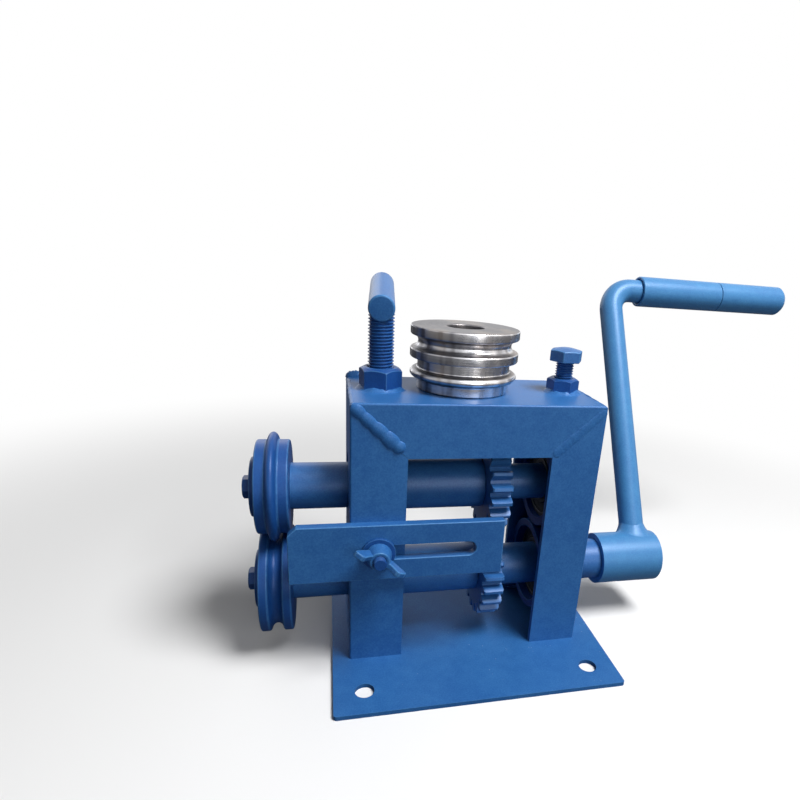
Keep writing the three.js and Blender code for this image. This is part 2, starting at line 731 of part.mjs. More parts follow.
// The crank rod's centre line: up from the hub, round the bend, and out along the grip
class CrankLine extends THREE.Curve {
  constructor(foot, top, radius, reach) {
    super();
    this.foot = foot;
    this.top = top;
    this.radius = radius;
    this.reach = reach;
    this.straight = 0.1; // share of the stations on each straight
  }

  turn_at(t) {
    const share = (t - this.straight) / (1 - 2 * this.straight);
    return Math.min(Math.max(share, 0), 1) * Math.PI / 2;
  }

  getPoint(t, target = new THREE.Vector3()) {
    const bend_foot = this.top - this.radius;
    if (t < this.straight) {
      return target.set(0, 0, this.foot + (bend_foot - this.foot) * t / this.straight);
    }
    if (t > 1 - this.straight) {
      const along = (t - 1 + this.straight) / this.straight;
      return target.set(this.radius + (this.reach - this.radius) * along, 0, this.top);
    }
    const turn = this.turn_at(t);
    return target.set(this.radius * (1 - Math.cos(turn)), 0, bend_foot + this.radius * Math.sin(turn));
  }

  getTangent(t, target = new THREE.Vector3()) {
    const turn = this.turn_at(t);
    return target.set(Math.sin(turn), 0, Math.cos(turn));
  }

  // Stations are closest together in the bend, so they are spread by t and not by length
  getPointAt(t, target) {
    return this.getPoint(t, target);
  }

  getTangentAt(t, target) {
    return this.getTangent(t, target);
  }

  getSpacedPoints(divisions) {
    return this.getPoints(divisions);
  }
}

function circle_shape(radius, sides) {
  const corners = [];
  for (let i = 0; i < sides; i += 1) {
    const angle = 2 * Math.PI * (i + 0.5) / sides;
    corners.push([radius * Math.cos(angle), radius * Math.sin(angle)]);
  }
  return shape_of(corners);
}

function crank(shaft_group) {
  const arm = group_at(shaft_group, 0, 0, 0);
  arm.rotation.x = -rad(crank_lean_deg);
  const grub = grub_screw_diameter / 2;
  const hub_bore = shaft_diameter / 2 + fit_gap;
  const hub_outside = hub_diameter / 2;
  const grub_x = hub_x + grub_screw_inset;
  const grub_hole = cutter_z(grub + fit_gap, -hub_outside - overcut, -hub_bore + overcut, small_sides)
    .translate([grub_x, 0, 0]);
  const hub = solid(turned_x(
    ring_profile(hub_bore, hub_outside, hub_x, hub_x + hub_length, hub_chamfer), round_sides));
  piece(arm, 'crank_hub', hub.subtract(grub_hole), blue_paint());

  const grub_face = -hub_outside + grub_screw_recess;
  const grub_socket = solid(extruded(hexagon(grub_socket_flats, true), grub_socket_depth + overcut))
    .translate([0, 0, grub_face - overcut]);
  const grub_body = cutter_z(grub, grub_face, -shaft_diameter / 2 - fit_gap, small_sides);
  piece(arm, 'crank_grub_screw', grub_body.subtract(grub_socket), bearing_steel()).position.x = grub_x;

  const grip_end = grip_start + grip_sleeve_length + grip_end_length;
  const rod_foot = hub_outside - crank_rod_sink;
  const line = new CrankLine(rod_foot, crank_radius, crank_bend_radius, grip_end - grip_end_wall);
  const rod = solid(new THREE.ExtrudeGeometry(circle_shape(crank_rod_diameter / 2, small_sides), {
    steps: 10, extrudePath: line, bevelEnabled: false }));
  const cope = cutter_x(hub_outside + fit_gap, -hub_length, hub_length, round_sides);
  piece(arm, 'crank_rod', rod.subtract(cope), blue_paint()).position.x = rod_x;

  const grip = group_at(arm, rod_x, 0, crank_radius);
  const bore = crank_rod_diameter / 2 + running_gap;
  const outside = grip_diameter / 2;
  const sleeve_end = grip_start + grip_sleeve_length - running_gap;
  const sleeve = ring_profile(bore, outside, grip_start, sleeve_end, grip_edge_chamfer);
  piece(grip, 'grip_sleeve', turned_x(sleeve, round_sides), blue_paint());
  const start = grip_start + grip_sleeve_length;
  const end_piece = [
    [0, grip_end - grip_end_wall + fit_gap], [bore, grip_end - grip_end_wall + fit_gap], [bore, start],
    [outside - grip_edge_chamfer, start], [outside, start + grip_edge_chamfer],
    [outside, grip_end - grip_chamfer], [outside - grip_chamfer, grip_end], [0, grip_end],
  ];
  piece(grip, 'grip_end', turned_x(end_piece, round_sides), blue_paint());
}

// The pressure screw with its cross bar, and the pad that its tip turns in
function pressure_screw() {
  const pad_floor = upper_axis_z + pad_slot_floor + pad_slot_gap;
  const pad_group = group_at(part, left_bearing_at, 0, pad_floor);
  const tip = screw_tip_diameter / 2;
  const neck = thrust_neck_diameter / 2;
  const top = thrust_pad_thickness + thrust_neck_height;
  const pad = [
    [0, 0], [thrust_pad_diameter / 2 - pad_chamfer, 0], [thrust_pad_diameter / 2, pad_chamfer],
    [thrust_pad_diameter / 2, thrust_pad_thickness], [neck, thrust_pad_thickness], [neck, top],
    [tip + running_gap, top], [tip + running_gap, pad_socket_floor], [0, pad_socket_floor],
  ];
  piece(pad_group, 'pressure_pad', turned_z(pad, small_sides), bearing_steel());

  const screw_group = group_at(part, left_bearing_at, 0, 0);
  const radius = pressure_screw_diameter / 2;
  const foot = pad_floor + top + running_gap;
  const c = screw_end_chamfer;
  const tip_end = pad_floor + pad_socket_floor + running_gap;
  const bar_foot = frame_top + pressure_nut_height + pressure_screw_top_z;
  const screw_top = bar_foot + saddle_depth;
  const profile = [
    [0, tip_end], [tip, tip_end], [tip, foot],
    [radius - c, foot], [radius, foot + c], [radius, screw_top], [0, screw_top],
  ];
  const bar_radius = tommy_bar_diameter / 2;
  const bar_z = bar_foot + bar_radius / Math.cos(rad(tommy_bar_rise_deg));
  const bar_along_y = (rod) => solid(turned_z(rod, round_sides)).rotate([-90, 0, 0])
    .rotate([tommy_bar_rise_deg, 0, 0]).rotate([0, 0, -tommy_bar_turn_deg]).translate([0, 0, bar_z]);
  const bar = bar_along_y(rod_profile(bar_radius, -tommy_bar_front, tommy_bar_back, tommy_bar_chamfer));
  const saddle = bar_along_y(rod_profile(bar_radius + fit_gap, -tommy_bar_front - overcut, tommy_bar_back));
  const screw = solid(turned_z(profile, round_sides)).subtract(saddle);
  piece(screw_group, 'pressure_screw', screw, dark_blue_paint());
  piece(screw_group, 'tommy_bar', bar, blue_paint());
}

// The setting screw and the button that it presses on
function setting_screw() {
  const button_foot = upper_axis_z + button_boss_top - button_pocket_depth + running_gap;
  const button = rod_profile(button_diameter / 2, 0, button_height, pad_chamfer);
  piece(part, 'setting_button', turned_z(button, small_sides), bearing_steel())
    .position.set(right_bearing_at, 0, button_foot);
  const foot = button_foot + button_height + running_gap;
  const radius = setting_screw_diameter / 2;
  const head_foot = frame_top + setting_nut_height + setting_head_z;
  const head = hex_body(setting_head_flats, setting_head_height, true, true)
    .translate([0, 0, head_foot]);
  const c = screw_end_chamfer;
  const shank_top = head_foot + setting_head_height / 2;
  const shank = solid(turned_z([
    [0, foot], [radius - c, foot], [radius, foot + c], [radius, shank_top], [0, shank_top],
  ], small_sides));
  piece(part, 'setting_screw', head.add(shank), dark_blue_paint()).position.x = right_bearing_at;
}

// The edge guide, a slotted plate on the front of the frame, clamped by a bolt and a wing nut
function edge_guide() {
  const length = guide_length;
  const half = guide_height / 2;
  const cut = guide_corner_cut;
  const outline = shape_of([
    [0, -half], [length, -half], [length, half], [cut, half], [0, half - cut]]);
  const bolt_x = clamp_bolt_x - guide_left_x;
  const slot_radius = clamp_bolt_diameter / 2 + guide_slot_gap;
  const slot = new THREE.Path();
  slot.absarc(bolt_x + guide_slot_right_x - slot_radius, 0, slot_radius, -Math.PI / 2, Math.PI / 2);
  slot.absarc(bolt_x - guide_slot_left_x + slot_radius, 0, slot_radius, Math.PI / 2, Math.PI * 1.5);
  outline.holes.push(slot);
  piece(part, 'edge_guide', extruded_front(outline, guide_thickness), blue_paint())
    .position.set(frame_left + guide_left_x, frame_front, guide_centre);

  const head_foot = -channel_wall - clamp_head_height;
  const shank = rod_profile(clamp_bolt_diameter / 2, head_foot + clamp_head_height / 2, clamp_bolt_end,
    clamp_bolt_chamfer);
  const head = hex_body(clamp_head_flats, clamp_head_height, true).translate([0, 0, head_foot]);
  const bolt = solid(turned_z(shank, small_sides)).add(head).rotate([90, 0, 0]);
  piece(part, 'clamp_bolt', bolt, dark_blue_paint()).position.set(clamp_x, frame_front, guide_centre);
}

// The washer and the wing nut in front of the guide
function guide_clamp() {
  const bore = clamp_bolt_diameter / 2 + running_gap;
  const washer = ring_profile(bore, clamp_washer_diameter / 2, 0, clamp_washer_thickness);
  piece(part, 'clamp_washer', solid(turned_z(washer, round_sides)).rotate([90, 0, 0]), dark_blue_paint())
    .position.set(clamp_x, frame_front - guide_thickness, guide_centre);

  const top = wing_hub_top_diameter / 2;
  const hub = solid(turned_z([
    [0, 0], [wing_hub_diameter / 2, 0], [wing_hub_diameter / 2, hub_foot_height],
    [top, wing_hub_height], [0, wing_hub_height],
  ], small_sides));
  const tip = wing_span / 2;
  const round = wing_tip_round;
  const crotch = wing_hub_height - wing_foot;
  const wing = new THREE.Shape();
  wing.moveTo(0, wing_foot);
  wing.lineTo(top, wing_foot);
  wing.quadraticCurveTo(tip - round, wing_height / 3, tip, wing_height - round);
  wing.quadraticCurveTo(tip, wing_height, tip - round, wing_height);
  wing.quadraticCurveTo(tip - 2 * round, wing_height, top - wing_foot, crotch);
  wing.lineTo(0, crotch);
  const blade = solid(extruded(wing, wing_thickness, 4).translate(0, 0, -wing_thickness / 2)
    .rotateX(Math.PI / 2));
  const body = hub.add(blade).add(blade.rotate([0, 0, 180]))
    .subtract(cutter_z(bore, -overcut, wing_height + overcut, small_sides))
    .rotate([90, 0, 0]).rotate([0, -wing_turn_deg, 0]);
  piece(part, 'wing_nut', body, dark_blue_paint())
    .position.set(clamp_x, frame_front - guide_thickness - clamp_washer_thickness, guide_centre);
}

// The spare pair of rollers, bare steel, stacked on top of the beam
function spare_rollers() {
  const x = left_bearing_at + pressure_nut_flats / 2 + spare_x + female_land_diameter / 2;
  piece(part, 'spare_male_roller', turned_z(male_profile(), roller_sides), bare_steel())
    .position.set(x, spare_y, frame_top);
  piece(part, 'spare_female_roller', turned_z(female_profile(), roller_sides), bare_steel())
    .position.set(x, spare_y, frame_top + roller_width);
}

base_plate();
left_upright();
right_upright();
top_beam();
corner_weld('left_corner_weld', frame_left, -1);
corner_weld('right_corner_weld', frame_right, 1);
welded_nut('pressure_nut', left_bearing_at, pressure_nut_flats, pressure_nut_height,
  pressure_screw_diameter, false);
welded_nut('setting_nut', right_bearing_at, setting_nut_flats, setting_nut_height,
  setting_screw_diameter, true);
lower_housings();

const lower_line = group_at(part, 0, 0, lower_axis_z);
const lower_turning = group_at(lower_line, 0, 0, 0);
const upper_line = group_at(part, 0, 0, upper_axis_z);
const upper_turning = group_at(upper_line, 0, 0, 0);

lower_shaft(lower_turning);
crank(lower_turning);
ball_bearing('lower_left', main_bearing, frame_left + housing_middle, lower_line, lower_turning);
ball_bearing('lower_right', main_bearing, frame_right - housing_middle, lower_line, lower_turning);

upper_shaft(upper_turning);
upper_left_housing(group_at(upper_line, left_bearing_at, 0, 0));
upper_right_housing(group_at(upper_line, right_bearing_at, 0, 0));
ball_bearing('upper_left', main_bearing, left_bearing_at, upper_line, upper_turning);
ball_bearing('upper_right', tail_bearing, right_bearing_at, upper_line, upper_turning);

pressure_screw();
setting_screw();
edge_guide();
guide_clamp();
spare_rollers();

export default part;
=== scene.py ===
"""Hand cranked sheet metal crimper: finished surfaces, materials, floor, lights and camera.

Everything is in metres in the part's own frame: X along the shafts towards the crank, Y to the
back, Z up. Sizes that a user would change are properties in the sidebar; places come from the
construction model's nodes.
"""
import math
import random

import bmesh
import bpy
from bpy.props import FloatProperty, FloatVectorProperty, IntProperty, PointerProperty
from mathutils import Euler, Matrix, Vector


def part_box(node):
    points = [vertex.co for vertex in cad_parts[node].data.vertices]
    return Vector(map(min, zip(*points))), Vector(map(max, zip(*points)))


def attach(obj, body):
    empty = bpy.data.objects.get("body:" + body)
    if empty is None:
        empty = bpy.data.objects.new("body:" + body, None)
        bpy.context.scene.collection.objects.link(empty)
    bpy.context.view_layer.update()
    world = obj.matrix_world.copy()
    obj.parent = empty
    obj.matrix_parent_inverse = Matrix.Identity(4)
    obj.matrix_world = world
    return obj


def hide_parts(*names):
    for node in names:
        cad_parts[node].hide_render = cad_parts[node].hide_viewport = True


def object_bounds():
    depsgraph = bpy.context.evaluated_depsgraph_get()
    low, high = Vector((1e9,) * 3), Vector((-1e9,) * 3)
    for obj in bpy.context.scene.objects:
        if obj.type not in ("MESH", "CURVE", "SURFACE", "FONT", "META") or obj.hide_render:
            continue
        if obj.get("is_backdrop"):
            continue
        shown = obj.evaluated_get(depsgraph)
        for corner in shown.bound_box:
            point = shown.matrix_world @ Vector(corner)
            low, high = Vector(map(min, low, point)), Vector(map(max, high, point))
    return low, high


bl_info = {
    "name": "Sheet metal crimper",
    "version": (1, 0, 0),
    "blender": (4, 5, 0),
    "location": "View3D > Sidebar > Crimper",
    "description": "Dresses the crimper's construction model piece by piece",
    "category": "Object",
}

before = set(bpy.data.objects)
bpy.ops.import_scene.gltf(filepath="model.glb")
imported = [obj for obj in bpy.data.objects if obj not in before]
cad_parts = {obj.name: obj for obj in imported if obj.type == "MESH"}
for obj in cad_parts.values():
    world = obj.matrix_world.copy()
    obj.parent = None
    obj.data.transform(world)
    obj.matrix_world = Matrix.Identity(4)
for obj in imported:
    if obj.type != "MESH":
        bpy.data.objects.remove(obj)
cad_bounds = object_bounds()

TURN = 2 * math.pi
X_AXIS = Vector((1, 0, 0))
Y_AXIS = Vector((0, 1, 0))
Z_AXIS = Vector((0, 0, 1))
# Face attribute on rounded faces: thin paint there, and a painted highlight along every rounded
# edge
THIN_PAINT_AND_HIGHLIGHT = "wear"
SAME = 1e-7  # points nearer than this are one point
NEAR = 2e-6  # the same after a boolean, whose cuts are less exact
PAST = 0.01  # how far a cutter reaches past what it cuts
PLAY = 0.0003  # between a thread, rod or bolt and what it runs in
SMALL_EDGE = 0.0006  # rounding of the edges of rings, washers and other small pieces
NUT_EDGE = 0.0007
HEAD_EDGE = 0.0003
M8_FLATS = 0.013
SHAFTS = {"upper": "upper_shaft", "lower": "crank"}  # the body that each shaft turns with
LAMPS = {  # each lamp's place, where it points, and its diameter
    "key": ((0.43, -0.40, 1.2), (0.0, 0.0, 0.1), 0.55),
    "fill": ((0.24, -0.9, 0.4), (0.05, 0.0, 0.1), 0.6),
    "back": ((-0.5, 1.3, 0.75), (0.0, 0.0, 0.1), 1.0),
}


def middle(node):
    low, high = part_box(node)
    return (low + high) / 2


def axis_of(node):
    """Where a node's axis along X meets the plane x = 0."""
    centre = middle(node)
    return Vector((0, centre.y, centre.z))


# Property helpers

def length(name, description, default):
    return FloatProperty(name=name, description=description, default=default, min=0,
                         subtype="DISTANCE", unit="LENGTH", precision=5)


def angle(name, description, degrees):
    return FloatProperty(name=name, description=description, default=math.radians(degrees),
                         subtype="ANGLE", unit="ROTATION")


def share(name, description, default):
    return FloatProperty(name=name, description=description, default=default, min=0, max=1,
                         subtype="FACTOR")


def amount(name, description, default):
    return FloatProperty(name=name, description=description, default=default)


def count(name, description, default):
    return IntProperty(name=name, description=description, default=default, min=1)


def colour(name, description, default):
    return FloatVectorProperty(name=name, description=description, default=default, size=3,
                               min=0, max=1, subtype="COLOR")


def place(name, description, default):
    return FloatVectorProperty(name=name, description=description, default=default, size=3,
                               subtype="TRANSLATION", unit="LENGTH", precision=4)


class CrimperFrameSizes(bpy.types.PropertyGroup):
    """Sizes of the base plate, the channel frame and its welds"""
    plate_corner: length("Plate corner", "Radius of the plate's corners", 0.002)
    plate_hole: length("Plate hole", "Diameter of the bench bolt holes", 0.012)
    plate_hole_inset: length("Hole inset", "From the plate's edges to a hole's middle", 0.019)
    wall: length("Channel wall", "Wall of the channel", 0.004)
    root_radius: length("Root radius", "Radius inside the channel's corners", 0.004)
    heel_radius: length("Heel radius", "Radius outside the channel's corners", 0.0013)
    edge: length("Edge", "Rounding of sawn and sheared edges", 0.0006)
    shaft_hole: length("Shaft hole", "Diameter of the shaft holes in the webs", 0.034)
    slot_up: length("Slot up", "How far the left upper hole is slotted upwards", 0.005)
    slot_down: length("Slot down", "How far the left upper hole is slotted downwards", 0.002)
    screw_play: length("Screw play", "Radial play of a screw in its hole", 0.0003)
    bead_width: length("Bead width", "Width of the left corner's weld bead", 0.0088)
    bead_height: length("Bead height", "Height of the left corner's weld bead", 0.0016)
    seam_width: length("Seam width", "Width of the right corner's flat weld", 0.0066)
    seam_height: length("Seam height", "Height of the right corner's flat weld", 0.0003)
    puddle_reach: length("Puddle reach", "How far the welds round the nuts reach out", 0.0034)
    puddle_height: length("Puddle height", "How far they climb the nuts", 0.0024)
    corner_cut: length("Corner cut", "How far the frame's outer top corners are ground off", 0.0016)
    foot_width: length("Foot weld width", "Width of the fillet welds at feet", 0.006)
    foot_height: length("Foot weld height", "Height of the fillet welds at feet", 0.003)


class CrimperTurnedSizes(bpy.types.PropertyGroup):
    """Sizes of the rollers, shafts, bearings, housings and gears"""
    steps: count("Steps", "Facets round a turned piece", 96)
    spigot: length("Spigot", "Diameter of a shaft where it carries a roller", 0.024)
    fit: length("Fit", "Play between a bore and what is pressed into it", 0.00025)
    tilt_play: length("Tilt play", "Room beside an upper bearing, which tilts", 0.0009)
    ridge_height: length("Ridge height", "Height of the male roller's ridge", 0.0048)
    ridge_width: length("Ridge width", "Width of the male roller's ridge", 0.0064)
    groove_depth: length("Groove depth", "Depth of the female roller's groove", 0.005)
    groove_width: length("Groove width", "Width of the female roller's groove", 0.0082)
    roller_edge: length("Roller edge", "Rounding of the rollers' edges", 0.0012)
    bolt: length("Roller bolt", "Diameter of the bolts that hold the rollers", 0.008)
    race: length("Race", "Thickness of a bearing's races", 0.0032)
    seal_recess: length("Seal recess", "How deep the seals sit between the races", 0.0008)
    housing_edge: length("Housing edge", "Rounding of the housings' edges", 0.001)
    housing_lip: length("Housing lip", "Height of the shoulder behind a bearing", 0.003)
    tooth_module: length("Module", "Pitch diameter of a gear over its teeth", 0.003)
    teeth: count("Teeth", "Teeth of each gear", 21)
    pressure_angle: angle("Pressure angle", "Slope of the teeth's flanks", 20)
    tooth_thinning: length("Tooth thinning", "Off each flank, so that the gears run free", 0.0001)
    tooth_edge: length("Tooth edge", "Rounding of the teeth's edges", 0.00035)
    tooth_chamfer: length("Tooth chamfer", "Chamfer of the gears' tips at both faces", 0.0009)
    tooth_turn: angle("Tooth turn", "Both gears' turn from a tooth that points up", 180 / 21)


class CrimperScrewSizes(bpy.types.PropertyGroup):
    """Sizes of the screws, nuts and the edge guide"""
    pressure_pitch: length("Pressure pitch", "Thread pitch of the pressure screw", 0.002)
    setting_pitch: length("Setting pitch", "Thread pitch of the setting screw", 0.00175)
    clamp_pitch: length("Clamp pitch", "Thread pitch of the guide's bolt", 0.00125)
    thread_depth: share("Thread depth", "Depth of a thread over its pitch", 0.48)
    pressure_screw: length("Pressure screw", "Diameter of the pressure screw", 0.016)
    bar: length("Cross bar", "Diameter of the pressure screw's cross bar", 0.016)
    bar_rise: angle("Bar rise", "How much the cross bar rises to the back", 8)
    bar_turn: angle("Bar turn", "How far the cross bar is turned from the Y axis", 5)
    pressure_nut_turn: angle("Pressure nut turn", "How far the pressure screw's nut is turned", 10)
    setting_nut_turn: angle("Setting nut turn", "How far the setting screw's nut is turned", -23)
    bar_front: length("Bar front", "From the screw's axis to the bar's front end", 0.01)
    bar_back: length("Bar back", "From the screw's axis to the bar's back end", 0.062)
    setting_screw: length("Setting screw", "Diameter of the setting screw", 0.012)
    setting_head: length("Setting head", "Height of the setting screw's head", 0.0088)
    guide_edge: length("Guide edge", "Rounding of the guide's edges", 0.0006)
    guide_corner: length("Guide corner", "Size of the guide's cut corner", 0.005)
    guide_slot: length("Guide slot", "Width of the guide's slot", 0.0095)
    slot_left: length("Slot left", "From the clamp bolt to the slot's left end", 0.007)
    slot_right: length("Slot right", "From the clamp bolt to the slot's right end", 0.062)
    clamp_bolt: length("Clamp bolt", "Diameter of the guide's bolt", 0.008)
    wing_hub: length("Wing hub", "Diameter of the wing nut's hub", 0.016)
    wing_hub_top: length("Wing hub top", "Diameter of the hub's outer end", 0.012)
    wing_hub_height: length("Wing hub height", "Height of the wing nut's hub", 0.009)
    wing_span: length("Wing span", "From wing tip to wing tip", 0.0345)
    wing_height: length("Wing height", "From the nut's face to the wings' tips", 0.015)
    wing_thickness: length("Wing thickness", "Thickness of the wings", 0.0036)
    wing_turn: angle("Wing turn", "How far the wings are turned from level", -30)


class CrimperCrankSizes(bpy.types.PropertyGroup):
    """Sizes of the crank"""
    lean: angle("Lean", "How far the crank leans to the back", 29.5)
    radius: length("Crank radius", "From the shaft's axis to the grip's axis", 0.225)
    rod: length("Rod", "Diameter of the bent rod", 0.019)
    bend: length("Bend", "Radius of the rod's bend", 0.019)
    weld_reach: length("Weld reach", "How far the weld at the rod's foot reaches out", 0.0046)
    weld_height: length("Weld height", "How far it climbs the rod", 0.0075)
    hub_bore: length("Hub bore", "Diameter of the hub's bore", 0.0305)
    hub_edge: length("Hub edge", "Rounding of the hub's edges", 0.0012)
    grip_edge: length("Grip edge", "Rounding of the sleeve's ends", 0.0011)
    grip_tip: length("Grip tip", "Chamfer of the grip's closed end", 0.003)


class CrimperFinish(bpy.types.PropertyGroup):
    """Colours and surface values"""
    blue: colour("Blue", "Satin blue machine paint", (0.034, 0.148, 0.385))
    blue_deep: colour("Deep blue", "Thick or shaded paint", (0.012, 0.078, 0.275))
    # Lit copy of the blue for the crank, hub and grip: painted light where the round pieces catch
    # the lamps
    blue_painted_lit: colour("Light blue", "Paint on the crank and its grip", (0.060, 0.235, 0.480))
    # Darker paint on rollers and nuts; on the threads and the housings it also serves as painted
    # shade
    blue_dark: colour("Dark blue", "Paint on rollers, nuts and threads", (0.006, 0.042, 0.200))
    # Paler blue on rounded edges: thin, chipped paint and a painted highlight along them
    blue_thin_paint_and_highlight: colour("Worn blue", "Thin paint on edges", (0.11, 0.32, 0.58))
    dust: colour("Dust", "Pale dust and paint specks", (0.34, 0.47, 0.60))
    paint_roughness: share("Paint roughness", "Roughness of the paint", 0.40)
    paint_metal: share("Paint metal", "How metallic the paint looks", 0.05)
    paint_shine: share("Paint shine", "Strength of the paint's reflections", 0.22)
    steel: colour("Turned steel", "Bare turned steel", (0.64, 0.65, 0.69))
    steel_painted_highlight: colour("Bright steel", "Streaks on bare turned steel", (0.95, 0.94, 0.95))
    # Bright steel stands as painted highlight: reflection streaks up the rollers' sides
    steel_warm: colour("Tinted steel", "Thin film of oil on bare steel", (0.62, 0.55, 0.49))
    # Oiled steel serves for real oil stains and for painted shade on the rollers' left side and
    # level faces
    steel_oil_and_shade: colour("Oiled steel", "Bare steel where oil stands", (0.12, 0.115, 0.125))
    # Nearly black steel: painted shade on the bearings and the small hidden pieces inside the
    # housings
    ground: colour("Greasy steel", "Bearing steel under grease", (0.007, 0.012, 0.026))
    rubber: colour("Rubber", "Bearing seals", (0.004, 0.007, 0.014))


class CrimperStage(bpy.types.PropertyGroup):
    """Floor, lights and camera"""
    eye: place("Eye", "Camera's place", (-0.0937, -0.3557, 0.2612))
    yaw: angle("Yaw", "Camera's turn to the right of the Y axis", 15.63)
    pitch: angle("Pitch", "Camera's tilt below level", 19.68)
    roll: angle("Roll", "Camera's roll about its view", -4.7)
    lens: amount("Lens", "Focal length in millimetres on a 36 mm sensor", 25.63)
    shift_x: amount("Shift X", "Sideways shift of the picture", -0.1)
    shift_y: amount("Shift Y", "Upward shift of the picture", 0.075)
    floor: colour("Floor", "Floor as the camera sees it", (0.84, 0.84, 0.84))
    bounce: colour("Bounce", "Floor as it lights the machine", (0.10, 0.10, 0.11))
    clear: length("Clear floor", "Where the floor has faded to the white backdrop", 0.75)
    key: amount("Key light", "Power of the large lamp above and to the right, in watts", 20.0)
    fill: amount("Fill light", "Power of the lamp in front, in watts", 2.4)
    back: amount("Back light", "Power of the lamp behind, in watts", 3.0)
    world: amount("World light", "Strength of the even light from all sides", 0.08)


# Modelling helpers

def solid_box(low, high):
    bm = bmesh.new()
    low, high = Vector(low), Vector(high)
    matrix = Matrix.Translation((low + high) / 2) @ Matrix.Diagonal((*(high - low), 1))
    bmesh.ops.create_cube(bm, size=1, matrix=matrix)
    return bm


def facing(axis, at=(0, 0, 0)):
    """Turns a form that was made round Z so that it lies round another axis, and puts it there."""
    turn = Z_AXIS.rotation_difference(Vector(axis)).to_matrix().to_4x4()
    return Matrix.Translation(Vector(at)) @ turn


def cylinder(radius, start, end, axis=Z_AXIS, at=(0, 0, 0), segments=64):
    bm = bmesh.new()
    matrix = facing(axis, at) @ Matrix.Translation((0, 0, (start + end) / 2))
    bmesh.ops.create_cone(bm, cap_ends=True, segments=segments, radius1=radius, radius2=radius,
                          depth=end - start, matrix=matrix)
    return bm


def drill(radius, at, axis=Z_AXIS):
    """The cutter of a hole through a wall at a place."""
    return cylinder(radius, -PAST, PAST, axis, at)


def moved(bm, matrix):
    bmesh.ops.transform(bm, matrix=matrix, verts=bm.verts)
    return bm


def shifted(bm, travel):
    bmesh.ops.translate(bm, verts=bm.verts, vec=travel)
    return bm


def outline_face(bm, corners):
    return bm.faces.new([bm.verts.new(corner) for corner in corners])


def prism(corners, travel):
    """A flat outline drawn through space by a travel vector."""
    bm = bmesh.new()
    face = outline_face(bm, corners)
    draw_out(bm, [face], travel)
    return bm


def draw_out(bm, faces, travel):
    made = bmesh.ops.extrude_face_region(bm, geom=faces, use_keep_orig=True)["geom"]
    carried = [item for item in made if isinstance(item, bmesh.types.BMVert)]
    bmesh.ops.translate(bm, verts=carried, vec=Vector(travel))
    bmesh.ops.recalc_face_normals(bm, faces=bm.faces)


def stadium(radius, low, high, depth):
    """A slot's cutter along X: a circle in YZ whose upper and lower halves are moved apart."""
    bm = bmesh.new()
    bmesh.ops.create_circle(bm, cap_ends=True, segments=64, radius=radius, matrix=facing(X_AXIS))
    for side, shift in ((1, high), (-1, low)):
        half = [v for v in bm.verts if v.co.z * side > SAME]
        bmesh.ops.translate(bm, verts=half, vec=(0, 0, shift))
    level = [v for v in bm.verts if abs(v.co.z) <= SAME]
    bmesh.ops.translate(bm, verts=level, vec=(0, 0, high))
    draw_out(bm, bm.faces[:], (depth, 0, 0))
    return bm


def turned(profile, axis=X_AXIS, at=(0, 0, 0), closed=True, steps=None):
    """A profile of (radius, along) points spun once round an axis."""
    steps = steps or bpy.context.scene.crimper_turned.steps
    bm = bmesh.new()
    verts = [bm.verts.new((radius, 0, along)) for radius, along in profile]
    pairs = list(zip(verts, verts[1:]))
    if closed:
        pairs.append((verts[-1], verts[0]))
    for pair in pairs:
        bm.edges.new(pair)
    bmesh.ops.spin(bm, geom=bm.verts[:] + bm.edges[:], cent=(0, 0, 0), axis=Z_AXIS,
                   dvec=(0, 0, 0), angle=TURN, steps=steps, use_merge=True, use_duplicate=False)
    bmesh.ops.remove_doubles(bm, verts=bm.verts, dist=SAME)
    bmesh.ops.recalc_face_normals(bm, faces=bm.faces)
    return moved(bm, facing(axis, at))


def ring(inner, outer, start, end):
    return [(inner, start), (outer, start), (outer, end), (inner, end)]


def rod(radius, start, end):
    return [(0, start), (radius, start), (radius, end), (0, end)]


def combined(bm, others, operation="DIFFERENCE"):
    """The solid with others cut from it, joined to it or kept in common with it."""
    base = stored("helper", bm)
    tools = [stored("helper", other) for other in others]
    for tool in tools:
        step = base.modifiers.new("step", "BOOLEAN")
        step.operation = operation
        step.solver = "EXACT"
        step.object = tool
    shape = base.evaluated_get(bpy.context.evaluated_depsgraph_get()).to_mesh()
    result = bmesh.new()
    result.from_mesh(shape)
    for helper in (base, *tools):
        mesh = helper.data
        bpy.data.objects.remove(helper)
        bpy.data.meshes.remove(mesh)
    bmesh.ops.remove_doubles(result, verts=result.verts, dist=NEAR)
    bmesh.ops.dissolve_degenerate(result, edges=result.edges, dist=NEAR)
    return result


def stored(name, bm):
    """The form as a new object of the scene."""
    mesh = bpy.data.meshes.new(name)
    bm.to_mesh(mesh)
    bm.free()
    made = bpy.data.objects.new(name, mesh)
    bpy.context.scene.collection.objects.link(made)
    return made


def bisected(bm, point, outward):
    """Cuts off what lies on the outward side of a plane and closes the cut."""
    bmesh.ops.bisect_plane(bm, geom=bm.verts[:] + bm.edges[:] + bm.faces[:], dist=SAME,
                           plane_co=Vector(point), plane_no=Vector(outward), clear_outer=True)
    return closed_up(bm)


def closed_up(bm):
    bmesh.ops.holes_fill(bm, edges=[edge for edge in bm.edges if edge.is_boundary], sides=0)
    return bm


